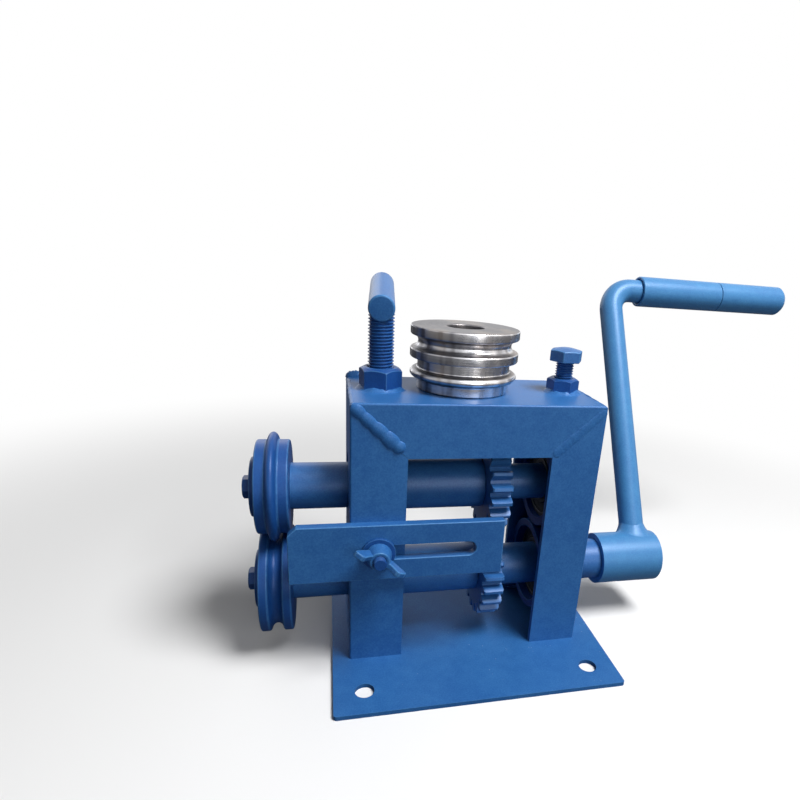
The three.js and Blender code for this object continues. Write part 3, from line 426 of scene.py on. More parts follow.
def softened(bm, width, segments=3, sharpest=30.0, keep=None):
    """Rounds the sharp edges and marks the rounded faces, where paint wears thin and a painted
    highlight runs along the edge.
    """
    layer = thin_paint_and_highlight_layer(bm)
    limit = math.radians(sharpest)
    edges = [edge for edge in bm.edges if edge.is_manifold and edge.calc_face_angle() > limit
             and (keep is None or keep(edge))]
    made = bmesh.ops.bevel(bm, geom=edges, offset=width, offset_type="OFFSET", segments=segments,
                           profile=0.5, affect="EDGES", clamp_overlap=True, material=-1)
    for face in made["faces"]:
        face[layer] = 1.0
    return bm


def thin_paint_and_highlight_layer(bm):
    return bm.faces.layers.float.get(THIN_PAINT_AND_HIGHLIGHT) or bm.faces.layers.float.new(THIN_PAINT_AND_HIGHLIGHT)


def joined(*forms):
    """Several separate forms in one mesh."""
    result = bmesh.new()
    thin_paint_and_highlight_layer(result)
    for form in forms:
        thin_paint_and_highlight_layer(form)
        mesh = bpy.data.meshes.new("helper")
        form.to_mesh(mesh)
        form.free()
        result.from_mesh(mesh)
        bpy.data.meshes.remove(mesh)
    return result


def station(at, along, up, width, height):
    """Place and size of one ring of a sweep."""
    along = Vector(along).normalized()
    side = Vector(up).cross(along).normalized()
    rise = along.cross(side)
    matrix = Matrix((side * width, rise * height, along)).transposed().to_4x4()
    matrix.translation = Vector(at)
    return matrix


def swept(stations, sides, flare=0.0):
    """A round section, or one with flared toes, carried from station to station."""
    bm = bmesh.new()
    bmesh.ops.create_circle(bm, cap_ends=False, segments=sides, radius=1)
    if flare:
        for vert in bm.verts:
            x, y, _ = vert.co
            vert.co.y = max(1 - x * x, 0) ** flare if y > 0 else y * 0.2
    moved(bm, stations[0])
    edges = bm.edges[:]
    for before, after in zip(stations, stations[1:]):
        made = bmesh.ops.extrude_edge_only(bm, edges=edges)["geom"]
        verts = [item for item in made if isinstance(item, bmesh.types.BMVert)]
        edges = [item for item in made if isinstance(item, bmesh.types.BMEdge)]
        bmesh.ops.transform(bm, matrix=after @ before.inverted(), verts=verts)
    closed_up(bm)
    bmesh.ops.recalc_face_normals(bm, faces=bm.faces)
    return bm


def weld_bead(points, normal, width, height, lobe, seed, ripple, swell=(1.0, 1.0), flare=1.15):
    """A lumpy bead along a path on a surface: overlapping lobes with flared toes.

    Each lobe draws its size (lump) and the side to which it wanders (aim), and each step how
    uneven the toes are (edge). The bead tapers off over half its width at both ends.
    """
    draw = random.Random(seed)
    spacing = (points[1] - points[0]).length
    last = len(points) - 1
    phase, lump, drift, aim, edge = 0.0, 1.0, 0.0, 0.0, 0.0
    stations = []
    for i, point in enumerate(points):
        ahead = points[min(i + 1, last)] - points[max(i - 1, 0)]
        before = phase
        phase += spacing / lobe
        if int(phase) != int(before):
            lump, aim = draw.uniform(0.9, 1.08), draw.uniform(-0.08, 0.08)
        drift += (aim - drift) * 0.12
        edge += (draw.uniform(-1, 1) - edge) * 0.3
        wave = (1 - ripple) + ripple * abs(math.sin(math.pi * phase)) ** 0.7
        grow = wave * lump * (swell[0] + (swell[1] - swell[0]) * i / last)
        from_end = min(i, last - i) * spacing / (width * 0.5)
        grow *= math.sqrt(max(1 - (1 - min(from_end, 1)) ** 2, 0.02))
        across = ahead.cross(normal).normalized()
        stations.append(station(point + across * (drift + edge * 0.03) * width, ahead, normal,
                                width / 2 * grow * (1 + edge * 0.1),
                                height * grow * (1 - edge * 0.2)))
    return swept(stations, 18, flare)


def puddle(inner, reach, height, seed, curl=1.7, rough=1.0):
    """A weld that runs round a round or six-sided foot, flared to the surface below, along Z."""
    draw = random.Random(seed)
    waves = [(count, draw.uniform(0, TURN), draw.uniform(0.4, 1.0) / count ** 0.3)
             for count in (2, 3, 5, 7, 11)]
    sunk, toe_sink = -0.0004, 0.0002
    rings = 9
    profile = [(inner * 0.8, sunk), (inner * 0.8, height)]
    for i in range(rings + 1):
        out = i / rings
        profile.append((inner + reach * out, height * (1 - out) ** curl - toe_sink * out))
    profile.append((inner + reach, sunk))
    form = turned(profile, Z_AXIS, steps=120)
    for vert in form.verts:
        way = math.atan2(vert.co.y, vert.co.x)
        lump = rough * sum(size * math.sin(count * way + shift) for count, shift, size in waves)
        away = vert.co.xy.length - inner
        if away > 1e-6:
            grow = 1 + (away / reach) * 0.2 * lump
            vert.co.x *= (inner + away * grow) / (inner + away)
            vert.co.y *= (inner + away * grow) / (inner + away)
        if vert.co.z > 0:
            vert.co.z *= 1 + 0.2 * lump
    return form


def line(start, end, spacing=0.0007):
    start, end = Vector(start), Vector(end)
    steps = max(int((end - start).length / spacing), 4)
    return [start.lerp(end, i / steps) for i in range(steps + 1)]


def hex_form(flats, height, turn=0.0, crown=0.18, bore=0.0):
    """A nut or bolt head from z 0 up, its upper corners turned off at 30 degrees."""
    body = moved(cylinder(flats / math.sqrt(3), 0, height, segments=6),
                 Matrix.Rotation(turn + math.pi / 6, 4, "Z"))
    past_corner = 1.05
    corner = flats / math.sqrt(3) * past_corner
    face = flats / 2 * (1 - crown / 4)
    drop = (corner - face) * math.tan(math.radians(30))
    lathe = turned([(0, 0), (corner, 0), (corner, height - drop), (face, height), (0, height)],
                   Z_AXIS, closed=False)
    form = combined(body, [lathe], "INTERSECT")
    if bore:
        form = combined(form, [cylinder(bore, -height, 2 * height)])
    return form


def bolt_head(height, axis, at, turn=0.0):
    """The hexagon head of an M8 bolt, which stands on a place along an axis."""
    head = moved(hex_form(M8_FLATS, height, turn), facing(axis, at))
    return softened(head, HEAD_EDGE, 2, 25.0)


def thread(radius, pitch, start, end, at, axis=Z_AXIS, chamfer=0.0):
    """A threaded rod: one tooth's profile carried along a helix, its far end chamfered."""
    steps = 36
    depth = bpy.context.scene.crimper_screws.thread_depth * pitch
    root, crest = radius - depth, radius
    tooth = [(root, 0), (root, 0.12), (crest, 0.43), (crest, 0.57), (root, 0.88), (root, 1)]
    bm = bmesh.new()
    verts = [bm.verts.new((r, 0, start + (share_of - 1) * pitch)) for r, share_of in tooth]
    for pair in zip(verts, verts[1:]):
        bm.edges.new(pair)
    turns = math.ceil((end - start) / pitch) + 2
    bmesh.ops.spin(bm, geom=bm.verts[:] + bm.edges[:], cent=(0, 0, 0), axis=Z_AXIS,
                   dvec=(0, 0, pitch / steps), angle=TURN * turns, steps=steps * turns,
                   use_merge=False, use_duplicate=False)
    bmesh.ops.remove_doubles(bm, verts=bm.verts, dist=1e-6)
    for z, way in ((start, -1), (end, 1)):
        bmesh.ops.bisect_plane(bm, geom=bm.verts[:] + bm.edges[:] + bm.faces[:], dist=SAME,
                               plane_co=(0, 0, z), plane_no=(0, 0, way), clear_outer=True)
    closed_up(bm)
    bmesh.ops.recalc_face_normals(bm, faces=bm.faces)
    # Crests take the rounded-edge mark: thin paint and a painted highlight
    layer = thin_paint_and_highlight_layer(bm)
    for face in bm.faces:
        if all(v.co.xy.length > crest - depth * 0.1 for v in face.verts):
            face[layer] = 1.0
    for vert in bm.verts:
        limit = radius - max(vert.co.z - (end - chamfer), 0)
        if chamfer and vert.co.xy.length > limit:
            vert.co.xy *= limit / vert.co.xy.length
    return moved(bm, facing(axis, at))


def piece(name, bm, material, body, nodes=(), smooth=32.0):
    """Stores a finished form as an object that rides on its body and stands for its nodes."""
    bmesh.ops.remove_doubles(bm, verts=bm.verts, dist=SAME)
    thin_paint_and_highlight_layer(bm)
    made = stored(name, bm)
    made.data.materials.append(material)
    made.data.shade_smooth()
    made.data.set_sharp_from_angle(angle=math.radians(smooth))
    weigh = made.modifiers.new("weigh", "WEIGHTED_NORMAL")
    weigh.keep_sharp = True
    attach(made, body)
    if nodes:
        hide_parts(*nodes)


def painted(node, bm, body, finish="blue"):
    """A painted piece that stands for one node and is named after it."""
    piece(f"painted_{node}", bm, finished(finish), body, [node])


# Material helpers

def arithmetic(operation, reflected=False):
    """One of Python's operators on wires."""
    def method(self, other):
        return self.maths(operation, *((other, self) if reflected else (self, other)))
    return method


class Wire:
    """A socket's value in a shader. Python's operators add Math nodes."""

    def __init__(self, shading, socket):
        self.shading = shading
        self.socket = socket

    def maths(self, operation, *values):
        return self.shading.wire("ShaderNodeMath", {"operation": operation},
                                 dict(enumerate(values)))

    __add__, __radd__ = arithmetic("ADD"), arithmetic("ADD", True)
    __sub__, __rsub__ = arithmetic("SUBTRACT"), arithmetic("SUBTRACT", True)
    __mul__, __rmul__ = arithmetic("MULTIPLY"), arithmetic("MULTIPLY", True)
    __truediv__, __rtruediv__ = arithmetic("DIVIDE"), arithmetic("DIVIDE", True)
    __pow__, __rpow__ = arithmetic("POWER"), arithmetic("POWER", True)

    def clamped(self):
        return self.maths("MINIMUM", self.maths("MAXIMUM", self, 0.0), 1.0)

    def step(self, low, high):
        """0 below low, 1 above high, smooth between."""
        return self.shading.wire("ShaderNodeMapRange", {"interpolation_type": "SMOOTHSTEP"},
                                 {"Value": self, "From Min": low, "From Max": high}, "Result")


class Shading:
    """A node tree being filled, of a material or of the world."""

    def __init__(self, owner, output):
        owner.use_nodes = True
        self.tree = owner.node_tree
        self.tree.nodes.clear()
        self.output = self.tree.nodes.new(output)

    def node(self, kind, settings, sockets):
        made = self.tree.nodes.new(kind)
        for key, value in settings.items():
            setattr(made, key, value)
        for key, value in sockets.items():
            name = key.replace("_", " ") if isinstance(key, str) else key
            self.feed(made.inputs[name], value)
        return made

    def feed(self, socket, value):
        if isinstance(value, Wire):
            self.tree.links.new(value.socket, socket)
        elif socket.type == "RGBA":
            socket.default_value = (*value, 1)
        else:
            socket.default_value = value

    def wire(self, kind, settings, sockets, output=0):
        return Wire(self, self.node(kind, settings, sockets).outputs[output])

    def light_path(self, kind):
        return self.wire("ShaderNodeLightPath", {}, {}, kind)

    def blend(self, factor, first, second):
        """Shows the second shader in place of the first as the factor rises."""
        mixed = self.wire("ShaderNodeMixShader", {}, {0: factor, 1: first, 2: second})
        self.tree.links.new(mixed.socket, self.output.inputs["Surface"])


class Finish(Shading):
    """A material being made round one Principled shader."""

    def __init__(self, name, **constants):
        self.material = bpy.data.materials.new(name)
        super().__init__(self.material, "ShaderNodeOutputMaterial")
        self.shader = self.node("ShaderNodeBsdfPrincipled", {}, constants)
        self.tree.links.new(self.shader.outputs[0], self.output.inputs["Surface"])

    def place(self, centre=(0, 0, 0), scale=(1, 1, 1)):
        """Object coordinates, centred on a point and stretched."""
        coordinates = self.wire("ShaderNodeTexCoord", {}, {}, "Object")
        centred = self.wire("ShaderNodeVectorMath", {"operation": "SUBTRACT"},
                            {0: coordinates, 1: centre})
        return self.wire("ShaderNodeVectorMath", {"operation": "MULTIPLY"},
                         {0: centred, 1: scale})

    def noise(self, scale, at=None, detail=3.0, roughness=0.55):
        at = at or self.place()
        return self.wire("ShaderNodeTexNoise", {}, {
            "Vector": at, "Scale": scale, "Detail": detail, "Roughness": roughness})

    def specks(self, scale, size):
        """Small round spots, 1 inside and 0 outside."""
        near = self.wire("ShaderNodeTexVoronoi", {}, {
            "Vector": self.place(), "Scale": scale, "Randomness": 1.0}, "Distance")
        return 1 - near.step(size * 0.5, size)

    def mix(self, factor, first, second):
        return self.wire("ShaderNodeMix", {"data_type": "RGBA"},
                         {0: factor, 6: first, 7: second}, 2)

    def side(self):
        """1 on upright surfaces, 0 on level ones."""
        facing_way = self.split(self.wire("ShaderNodeNewGeometry", {}, {}, "Normal"))[2]
        return 1 - (facing_way * facing_way).step(0.3, 0.8)

    # The rounded-edge mark: thin, chipped paint and a painted highlight along every rounded edge
    def wear(self):
        return self.wire("ShaderNodeAttribute", {"attribute_name": THIN_PAINT_AND_HIGHLIGHT}, {}, "Fac")

    def split(self, vector):
        node = self.node("ShaderNodeSeparateXYZ", {}, {0: vector})
        return [Wire(self, output) for output in node.outputs]

    def bump(self, height, distance, strength):
        return self.wire("ShaderNodeBump", {}, {
            "Height": height, "Distance": distance, "Strength": strength})

    def fade_to_white(self, factor):
        """Lets plain white show in place of the surface as the factor rises."""
        glow = self.wire("ShaderNodeEmission", {}, {"Color": (1, 1, 1), "Strength": 1.0})
        self.blend(factor, Wire(self, self.shader.outputs[0]), glow)

    def set(self, **values):
        for name, value in values.items():
            self.feed(self.shader.inputs[name.replace("_", " ")], value)
        return self.material


def paint(name, low="blue_deep", high="blue", dusty=0.0, thin_paint_and_highlight_share=1.0, grain=1.0, shine=1.0):
    """Sprayed satin blue paint: mottled, powdery, thin on edges with a painted highlight along
    them, with pale specks.
    """
    looks = bpy.context.scene.crimper_finish
    finish = Finish(name, Metallic=looks.paint_metal, Coat_Weight=0.05, Coat_Roughness=0.3,
                    Specular_IOR_Level=looks.paint_shine * shine)
    clouds = finish.noise(14.0)
    mottle = finish.noise(150.0)
    speckle = finish.noise(1000.0, detail=2.0, roughness=0.7)
    powder = finish.noise(2600.0, detail=2.0)
    tone = (clouds * 0.28 + mottle * 0.22 + speckle * 0.5).step(0.34, 0.66)
    base = finish.mix(tone * 0.7 + 0.3, getattr(looks, low), getattr(looks, high))
    # Rounded faces turn paler: chipped thin paint, and an even pale line along every edge as a
    # painted highlight
    chips = finish.noise(420.0, detail=4.0, roughness=0.7)
    edges = finish.wear() * (chips.step(0.30, 0.66) * 0.6 + 0.4) * thin_paint_and_highlight_share
    base = finish.mix((edges * 0.34).clamped(), base, looks.blue_thin_paint_and_highlight)
    pale = finish.specks(230.0, 0.10) * clouds.step(0.48, 0.62)
    fine = finish.specks(900.0, 0.12) * mottle.step(0.52, 0.64)
    marks = ((pale * 0.5 + fine * 0.3) * (0.12 + dusty)).clamped()
    base = finish.mix(marks, base, looks.dust)
    rough = looks.paint_roughness + (powder - 0.5) * 0.14 + (mottle - 0.5) * 0.12 + marks * 0.3
    height = (speckle * 0.8 + finish.noise(500.0, detail=2.0) * 0.5 + powder * 0.25
              + finish.specks(310.0, 0.16) * 0.5)
    normal = finish.bump(height, distance=0.00006 * grain, strength=0.55)
    return finish.set(Base_Color=base, Roughness=rough.clamped(), Normal=normal)


def turned_steel(name, centre):
    """Bare turned steel: fine rings round Z, stains of oil, soft streaks up the side painted as
    bright reflections, and painted shade on the left side and on the level faces.
    """
    looks = bpy.context.scene.crimper_finish
    finish = Finish(name, Metallic=1.0, Anisotropic=0.35)
    at = finish.place(centre)
    x, y, z = finish.split(at)
    radius = (x * x + y * y) ** 0.5
    rings = finish.wire("ShaderNodeCombineXYZ", {}, {0: radius * 6500.0, 1: 0.0, 2: z * 6500.0})
    grooves = finish.noise(1.0, rings, detail=2.0)
    coarse = finish.wire("ShaderNodeCombineXYZ", {}, {0: radius * 900.0, 1: 0.0, 2: z * 900.0})
    bands = finish.noise(1.0, coarse, detail=2.0)
    stains = finish.noise(38.0, at, detail=5.0, roughness=0.62)
    spots = finish.noise(260.0, at, detail=4.0, roughness=0.7)
    around = finish.wire("ShaderNodeCombineXYZ", {}, {
        0: x / radius * 3.2, 1: y / radius * 3.2, 2: z * 14.0})
    streaks = finish.noise(1.5, around, detail=1.0)
    side = finish.side() * radius.step(0.014, 0.02)
    # Painted shade: the side turned one fixed way, to the left, is drawn darker
    from_left = y.maths("ARCTAN2", y, x) + 2.45
    left = 1 - from_left.maths("ABSOLUTE", from_left).step(0.15, 0.95)
    # Oil stains, spots and turned bands, plus painted shade between the bright streaks, on the left
    # side and on the level faces
    dark = (stains.step(0.50, 0.74) * 0.4 + spots.step(0.56, 0.74) * 0.2 + (bands - 0.5) * 0.3
            + side * (streaks.step(0.48, 0.64) * 0.45 + left * 0.55) + (1 - side) * 0.88)
    base = finish.mix(dark.clamped(), looks.steel, looks.steel_oil_and_shade)
    # Painted highlight: bright reflection streaks up the side, kept off the shaded left
    base = finish.mix(side * (1 - streaks.step(0.38, 0.52)) * (1 - left), base, looks.steel_painted_highlight)
    base = finish.mix((stains.step(0.44, 0.66) * 0.4).clamped(), base, looks.steel_warm)
    rough = 0.24 + (grooves - 0.5) * 0.22 + dark * 0.16
    normal = finish.bump(grooves * 0.7 + bands * 0.5, distance=0.00003, strength=0.5)
    return finish.set(Base_Color=base, Roughness=rough.clamped(), Normal=normal)


def ground_steel(name):
    """Bearing steel, nearly black all over as painted shade inside the housings: smears and faint
    grinding lines.
    """
    looks = bpy.context.scene.crimper_finish
    finish = Finish(name, Metallic=0.2, Specular_IOR_Level=0.25)
    smears = finish.noise(90.0, detail=4.0)
    base = finish.mix(smears.step(0.55, 0.8) * 0.2, looks.ground, looks.steel_oil_and_shade)
    lines = finish.noise(1.0, finish.place(scale=(3500, 350, 350)), detail=1.0)
    rough = 0.42 + smears * 0.2 + lines * 0.06
    return finish.set(Base_Color=base, Roughness=rough,
                      Normal=finish.bump(lines, distance=0.00001, strength=0.4))


def seal_rubber(name):
    """Dusty rubber with a fine grain."""
    looks = bpy.context.scene.crimper_finish
    finish = Finish(name, Metallic=0.0, Specular_IOR_Level=0.2)
    dust = finish.noise(240.0, detail=4.0).step(0.5, 0.8)
    base = finish.mix(dust * 0.05, looks.rubber, looks.dust)
    grain = finish.noise(1800.0, detail=2.0)
    return finish.set(Base_Color=base, Roughness=0.55 + grain * 0.25,
                      Normal=finish.bump(grain, distance=0.00004, strength=0.5))


FINISHES = {  # each finish's material, what makes it and how it differs from plain blue paint
    "blue": ("satin_blue_paint", paint, {}),
    "dusty": ("dusty_blue_paint", paint, {"dusty": 0.6, "shine": 0.7}),
    "round": ("blue_paint_on_round_pieces", paint, {"grain": 2.2, "shine": 1.6}),
    # The crank's finish is a lit copy of the blue paint: painted light on the round crank pieces
    "crank": ("light_blue_paint", paint, {
        "low": "blue", "high": "blue_painted_lit", "dusty": 0.3, "grain": 2.2, "shine": 1.6}),
    "deep": ("deep_blue_paint", paint, {
        "low": "blue_dark", "high": "blue_deep", "thin_paint_and_highlight_share": 0.8, "grain": 1.6}),
    # Darkest blue all over: painted shade on the housings inside the uprights
    "shaded": ("blue_paint_in_the_frame", paint, {
        "low": "blue_dark", "high": "blue_dark", "shine": 0.3}),
    # Dark paint on the threads as painted shade; their crests pale as on rounded edges
    "thread": ("worn_paint_on_threads", paint, {
        "low": "blue_dark", "high": "blue_deep", "grain": 0.7}),
    "weld": ("blue_paint_on_welds", paint, {"dusty": 0.4, "thin_paint_and_highlight_share": 0.6, "grain": 2.2, "shine": 0.7}),
    "bearing": ("ground_steel", ground_steel, {}),
    "seal": ("bearing_seal_rubber", seal_rubber, {}),
}


def finished(kind):
    """The material of a finish, made when it is first asked for."""
    name, make, changes = FINISHES[kind]
    return bpy.data.materials.get(name) or make(name, **changes)


# Pieces

class Build:
    """What the crimper's operators share"""
    bl_options = {"REGISTER", "UNDO"}


class BuildBasePlate(Build, bpy.types.Operator):
    """Base plate with rounded corners and four bench bolt holes"""
    bl_idname = "crimper.base_plate"
    bl_label = "Base plate"

    def execute(self, context):
        sizes = context.scene.crimper_frame
        low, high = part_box("base_plate")
        plate = solid_box(low, high)
        upright = [e for e in plate.edges if abs((e.verts[0].co - e.verts[1].co).z) > 1e-4]
        bmesh.ops.bevel(plate, geom=upright, offset=sizes.plate_corner, segments=4, profile=0.5,
                        affect="EDGES", material=-1)
        inset = sizes.plate_hole_inset
        holes = [drill(sizes.plate_hole / 2, (x, y, 0))
                 for x in (low.x + inset, high.x - inset)
                 for y in (low.y + inset, high.y - inset)]
        plate = softened(combined(plate, holes), sizes.edge * 0.7, 2)
        painted("base_plate", plate, "frame", "dusty")
        return {"FINISHED"}


def channel(sizes, low, high, out, along):
    """A channel between two corners of a box. out points from the flanges to the web."""
    across = Vector(along).cross(Vector(out))
    centre = (low + high) / 2
    span = high - low
    reach = abs(span.dot(Vector(out)))
    half = abs(span.dot(across)) / 2
    run = abs(span.dot(Vector(along)))
    heel = centre + Vector(out) * reach / 2 - Vector(along) * run / 2
    wall = sizes.wall
    section = [(0, -half), (reach, -half), (reach, wall - half), (wall, wall - half),
               (wall, half - wall), (reach, half - wall), (reach, half), (0, half)]
    bm = bmesh.new()
    face = outline_face(bm, [heel - Vector(out) * x + across * y for x, y in section])
    corners = face.verts[:]
    roots, heels = corners[3:5], [corners[0], corners[7]]
    for verts, radius, segments in ((roots, sizes.root_radius, 6), (heels, sizes.heel_radius, 4)):
        bmesh.ops.bevel(bm, geom=verts, offset=radius, segments=segments, profile=0.5,
                        affect="VERTICES", material=-1)
    draw_out(bm, bm.faces[:], Vector(along) * run)
    return bm


def clear_of(planes):
    """A test for the edges that lie in none of some planes, given as (point, normal)."""
    return lambda edge: all(any(abs((v.co - point).dot(normal)) > 1e-5 for v in edge.verts)
                            for point, normal in planes)


class BuildUprights(Build, bpy.types.Operator):
    """Left and right channel uprights, mitred at the top, with their shaft holes"""
    bl_idname = "crimper.uprights"
    bl_label = "Uprights"

    def execute(self, context):
        sizes = context.scene.crimper_frame
        upper = middle("upper_left_outer_race").z
        lower = middle("lower_left_outer_race").z
        for side, out in (("left", -1), ("right", 1)):
            low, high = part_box(f"{side}_upright")
            web = low.x if out < 0 else high.x
            post = channel(sizes, low, high, (out, 0, 0), (0, 0, 1))
            post = bisected(post, (web, 0, high.z), (-out, 0, 1))
            post = bisected(post, (web, 0, high.z - sizes.corner_cut), (out, 0, 1))
            holes = [drill(sizes.shaft_hole / 2, (web, 0, lower), X_AXIS)]
            if side == "left":
                slot = stadium(sizes.shaft_hole / 2, -sizes.slot_down, sizes.slot_up, 2 * PAST)
                holes.append(shifted(slot, (web - PAST, 0, upper)))
                clamp = middle("clamp_bolt")
                radius = context.scene.crimper_screws.clamp_bolt / 2 + sizes.screw_play
                holes.append(drill(radius, (clamp.x, low.y, clamp.z), Y_AXIS))
            else:
                holes.append(drill(sizes.shaft_hole / 2, (web, 0, upper), X_AXIS))
            mitre = (Vector((web, 0, high.z)), Vector((-out, 0, 1)).normalized())
            post = softened(combined(post, holes), sizes.edge, 2, 40.0, clear_of([mitre]))
            painted(f"{side}_upright", post, "frame")
        return {"FINISHED"}


class BuildTopBeam(Build, bpy.types.Operator):
    """Top beam, mitred at both ends, with the holes of both screws"""
    bl_idname = "crimper.top_beam"
    bl_label = "Top beam"

    def execute(self, context):
        sizes = context.scene.crimper_frame
        screws = context.scene.crimper_screws
        low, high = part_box("top_beam")
        beam = channel(sizes, low, high, (0, 0, 1), (1, 0, 0))
        ends = [(Vector((x, 0, high.z)), Vector((out, 0, -1)).normalized())
                for x, out in ((low.x, -1), (high.x, 1))]
        for point, outward in ends:
            beam = bisected(beam, point, outward)
            beam = bisected(beam, point - Z_AXIS * sizes.corner_cut, (outward.x, 0, -outward.z))
        holes = [drill(diameter / 2 + sizes.screw_play, (middle(node).x, 0, high.z))
                 for node, diameter in (("pressure_screw", screws.pressure_screw),
                                        ("setting_screw", screws.setting_screw))]
        beam = softened(combined(beam, holes), sizes.edge, 2, 40.0, clear_of(ends))
        painted("top_beam", beam, "frame")
        return {"FINISHED"}


def welds(name, beads, nodes=()):
    """Several beads as one painted piece of the frame."""
    piece(name, joined(*beads), finished("weld"), "frame", nodes, smooth=60.0)


class BuildFrameWelds(Build, bpy.types.Operator):
    """Weld beads on the mitres, at the feet and round the nuts"""
    bl_idname = "crimper.frame_welds"
    bl_label = "Frame welds"

    def execute(self, context):
        sizes = context.scene.crimper_frame
        left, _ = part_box("left_upright")
        _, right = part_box("right_upright")
        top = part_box("top_beam")[1].z
        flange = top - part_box("top_beam")[0].z
        thick = {"width": sizes.bead_width, "height": sizes.bead_height, "lobe": 0.0088,
                 "seed": 8, "ripple": 0.19, "swell": (0.88, 1.08), "flare": 0.75}
        flat = {"width": sizes.seam_width, "height": sizes.seam_height, "lobe": 0.0037,
                "seed": 11, "ripple": 0.1, "swell": (0.85, 1.05), "flare": 0.5}
        # How far inwards and down each mitre's bead starts, and how far short of the flange's
        # corner it ends
        mitres = (("left", left.x, 1, (0.0008, 0.0016), (0.0025, 0.005), thick),
                  ("right", right.x, -1, (0.001, 0.003), (0.0005, 0.001), flat))
        in_from_web, in_from_side = 0.0012, 0.001
        for side, web, inward, start, short, look in mitres:
            beads = []
            for y, out_y in ((left.y, -1), (right.y, 1)):
                path = line((web + inward * start[0], y, top - start[1]),
                            (web + inward * (flange - short[0]), y, top - (flange - short[1])))
                beads.append(weld_bead(path, Vector((0, out_y, 0)), **look))
            corner = web + inward * in_from_web
            edge = line((corner, left.y + in_from_side, top - in_from_web),
                        (corner, right.y - in_from_side, top - in_from_web))
            beads.append(weld_bead(edge, Vector((-inward, 0, 1)), width=0.0038, height=0.0009,
                                   lobe=0.011, seed=19, ripple=0.2))
            welds(f"{side}_corner_bead", beads, [f"{side}_corner_weld"])
        self.feet(sizes, left, right, flange)
        lump_start, lump_end, from_back, below_top = -0.0004, 0.0112, 0.003, 0.0006
        lump = line((left.x + lump_start, right.y - from_back, top - below_top),
                    (left.x + lump_end, right.y - from_back, top - below_top), spacing=0.0004)
        spots = [weld_bead(lump, Z_AXIS, width=0.0074, height=0.0044, lobe=0.03, seed=5,
                           ripple=0.0, flare=0.6)]
        for node, seed in (("pressure_nut", 41), ("setting_nut", 47)):
            low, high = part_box(node)
            flats = min(high.x - low.x, high.y - low.y)
            inner = flats * 0.535
            form = puddle(inner, sizes.puddle_reach, sizes.puddle_height, seed)
            spot = middle(node)
            spots.append(shifted(form, (spot.x, spot.y, top)))
        welds("nut_welds", spots)
        return {"FINISHED"}

    def feet(self, sizes, left, right, flange):
        """Fillet welds inside the channels, where the uprights stand on the plate."""
        above_plate, from_sides, from_web, from_flange = 0.0004, 0.01, 0.012, 0.004
        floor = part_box("base_plate")[1].z + above_plate
        wall, width, height = sizes.wall, sizes.foot_width, sizes.foot_height
        beads = []
        for web, out in ((left.x, -1), (right.x, 1)):
            run = line((web - out * wall, left.y + from_sides, floor),
                       (web - out * wall, right.y - from_sides, floor))
            beads.append(weld_bead(run, Vector((-out, 0, 1)), width, height,
                                   lobe=0.008, seed=23 + out, ripple=0.2))
            for y, out_y in ((left.y + wall, 1), (right.y - wall, -1)):
                run = line((web - out * from_web, y, floor),
                           (web - out * (flange - from_flange), y, floor))
                beads.append(weld_bead(run, Vector((0, out_y, 1)), width * 0.8, height * 0.8,
                                       lobe=0.007, seed=31 + out, ripple=0.22))
        welds("foot_welds", beads)


class BuildHousings(Build, bpy.types.Operator):
    """The four bearing housings"""
    bl_idname = "crimper.housings"
    bl_label = "Bearing housings"

    def execute(self, context):
        sizes = context.scene.crimper_turned
        bodies = {"lower_left": "frame", "lower_right": "frame", "upper_left": "upper_carrier",
                  "upper_right": "right_bearing_block"}
        for name, body in bodies.items():
            low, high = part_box(f"{name}_housing")
            race_low, race_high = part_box(f"{name}_outer_race")
            at = axis_of(f"{name}_outer_race")
            upper = name.startswith("upper")
            left = name.endswith("left")
            web_side, inner_side = (low.x, high.x) if left else (high.x, low.x)
            tube = (high.z - low.z) / 2 if name == "lower_left" else at.z - low.z
            bore = (race_high.z - race_low.z) / 2 + sizes.fit
            play = sizes.tilt_play if upper else sizes.fit
            seat = race_low.x - play if left else race_high.x + play
            form = turned([(bore - sizes.housing_lip, web_side), (tube, web_side),
                           (tube, inner_side), (bore, inner_side), (bore, seat),
                           (bore - sizes.housing_lip, seat)], X_AXIS, at)
            if upper:
                form = self.with_cheeks(form, name, low, high, at, bore)
            form = softened(form, sizes.housing_edge * 0.6, 2, 35.0)
            # Painted shade: the housings take the darkest blue all over
            painted(f"{name}_housing", form, body, "shaded")
        return {"FINISHED"}

    def with_cheeks(self, form, name, low, high, at, bore):
        """Adds the sliding cheeks and the boss, and cuts the slot or pocket for the screw."""
        left = name == "upper_left"
        cheek = 0.014
        boss = 0.017 if left else 0.013
        block = solid_box((low.x, low.y, at.z - cheek), (high.x, high.y, at.z + cheek))
        top = solid_box((low.x, -boss, at.z), (high.x, boss, high.z))
        block = combined(block, [top], "UNION")
        block = combined(block, [cylinder(bore, low.x - PAST, high.x + PAST, X_AXIS, at)])
        form = combined(form, [block], "UNION")
        screw_end = "pressure_pad" if left else "setting_button"
        end_low, end_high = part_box(screw_end)
        radius = (end_high.x - end_low.x) / 2
        below, pad_play, button_play = 0.0005, 0.0006, 0.0008
        floor = end_low.z - below
        if left:
            half, neck, height = radius + pad_play, 0.0066, 0.006
            start, end = low.x - PAST, high.x + PAST
            return combined(form, [
                solid_box((start, -half, floor), (end, half, floor + height)),
                solid_box((start, -neck, floor), (end, neck, high.z + PAST))])
        pocket = cylinder(radius + button_play, floor, high.z + PAST,
                          at=(middle(screw_end).x, 0, 0))
        return combined(form, [pocket])


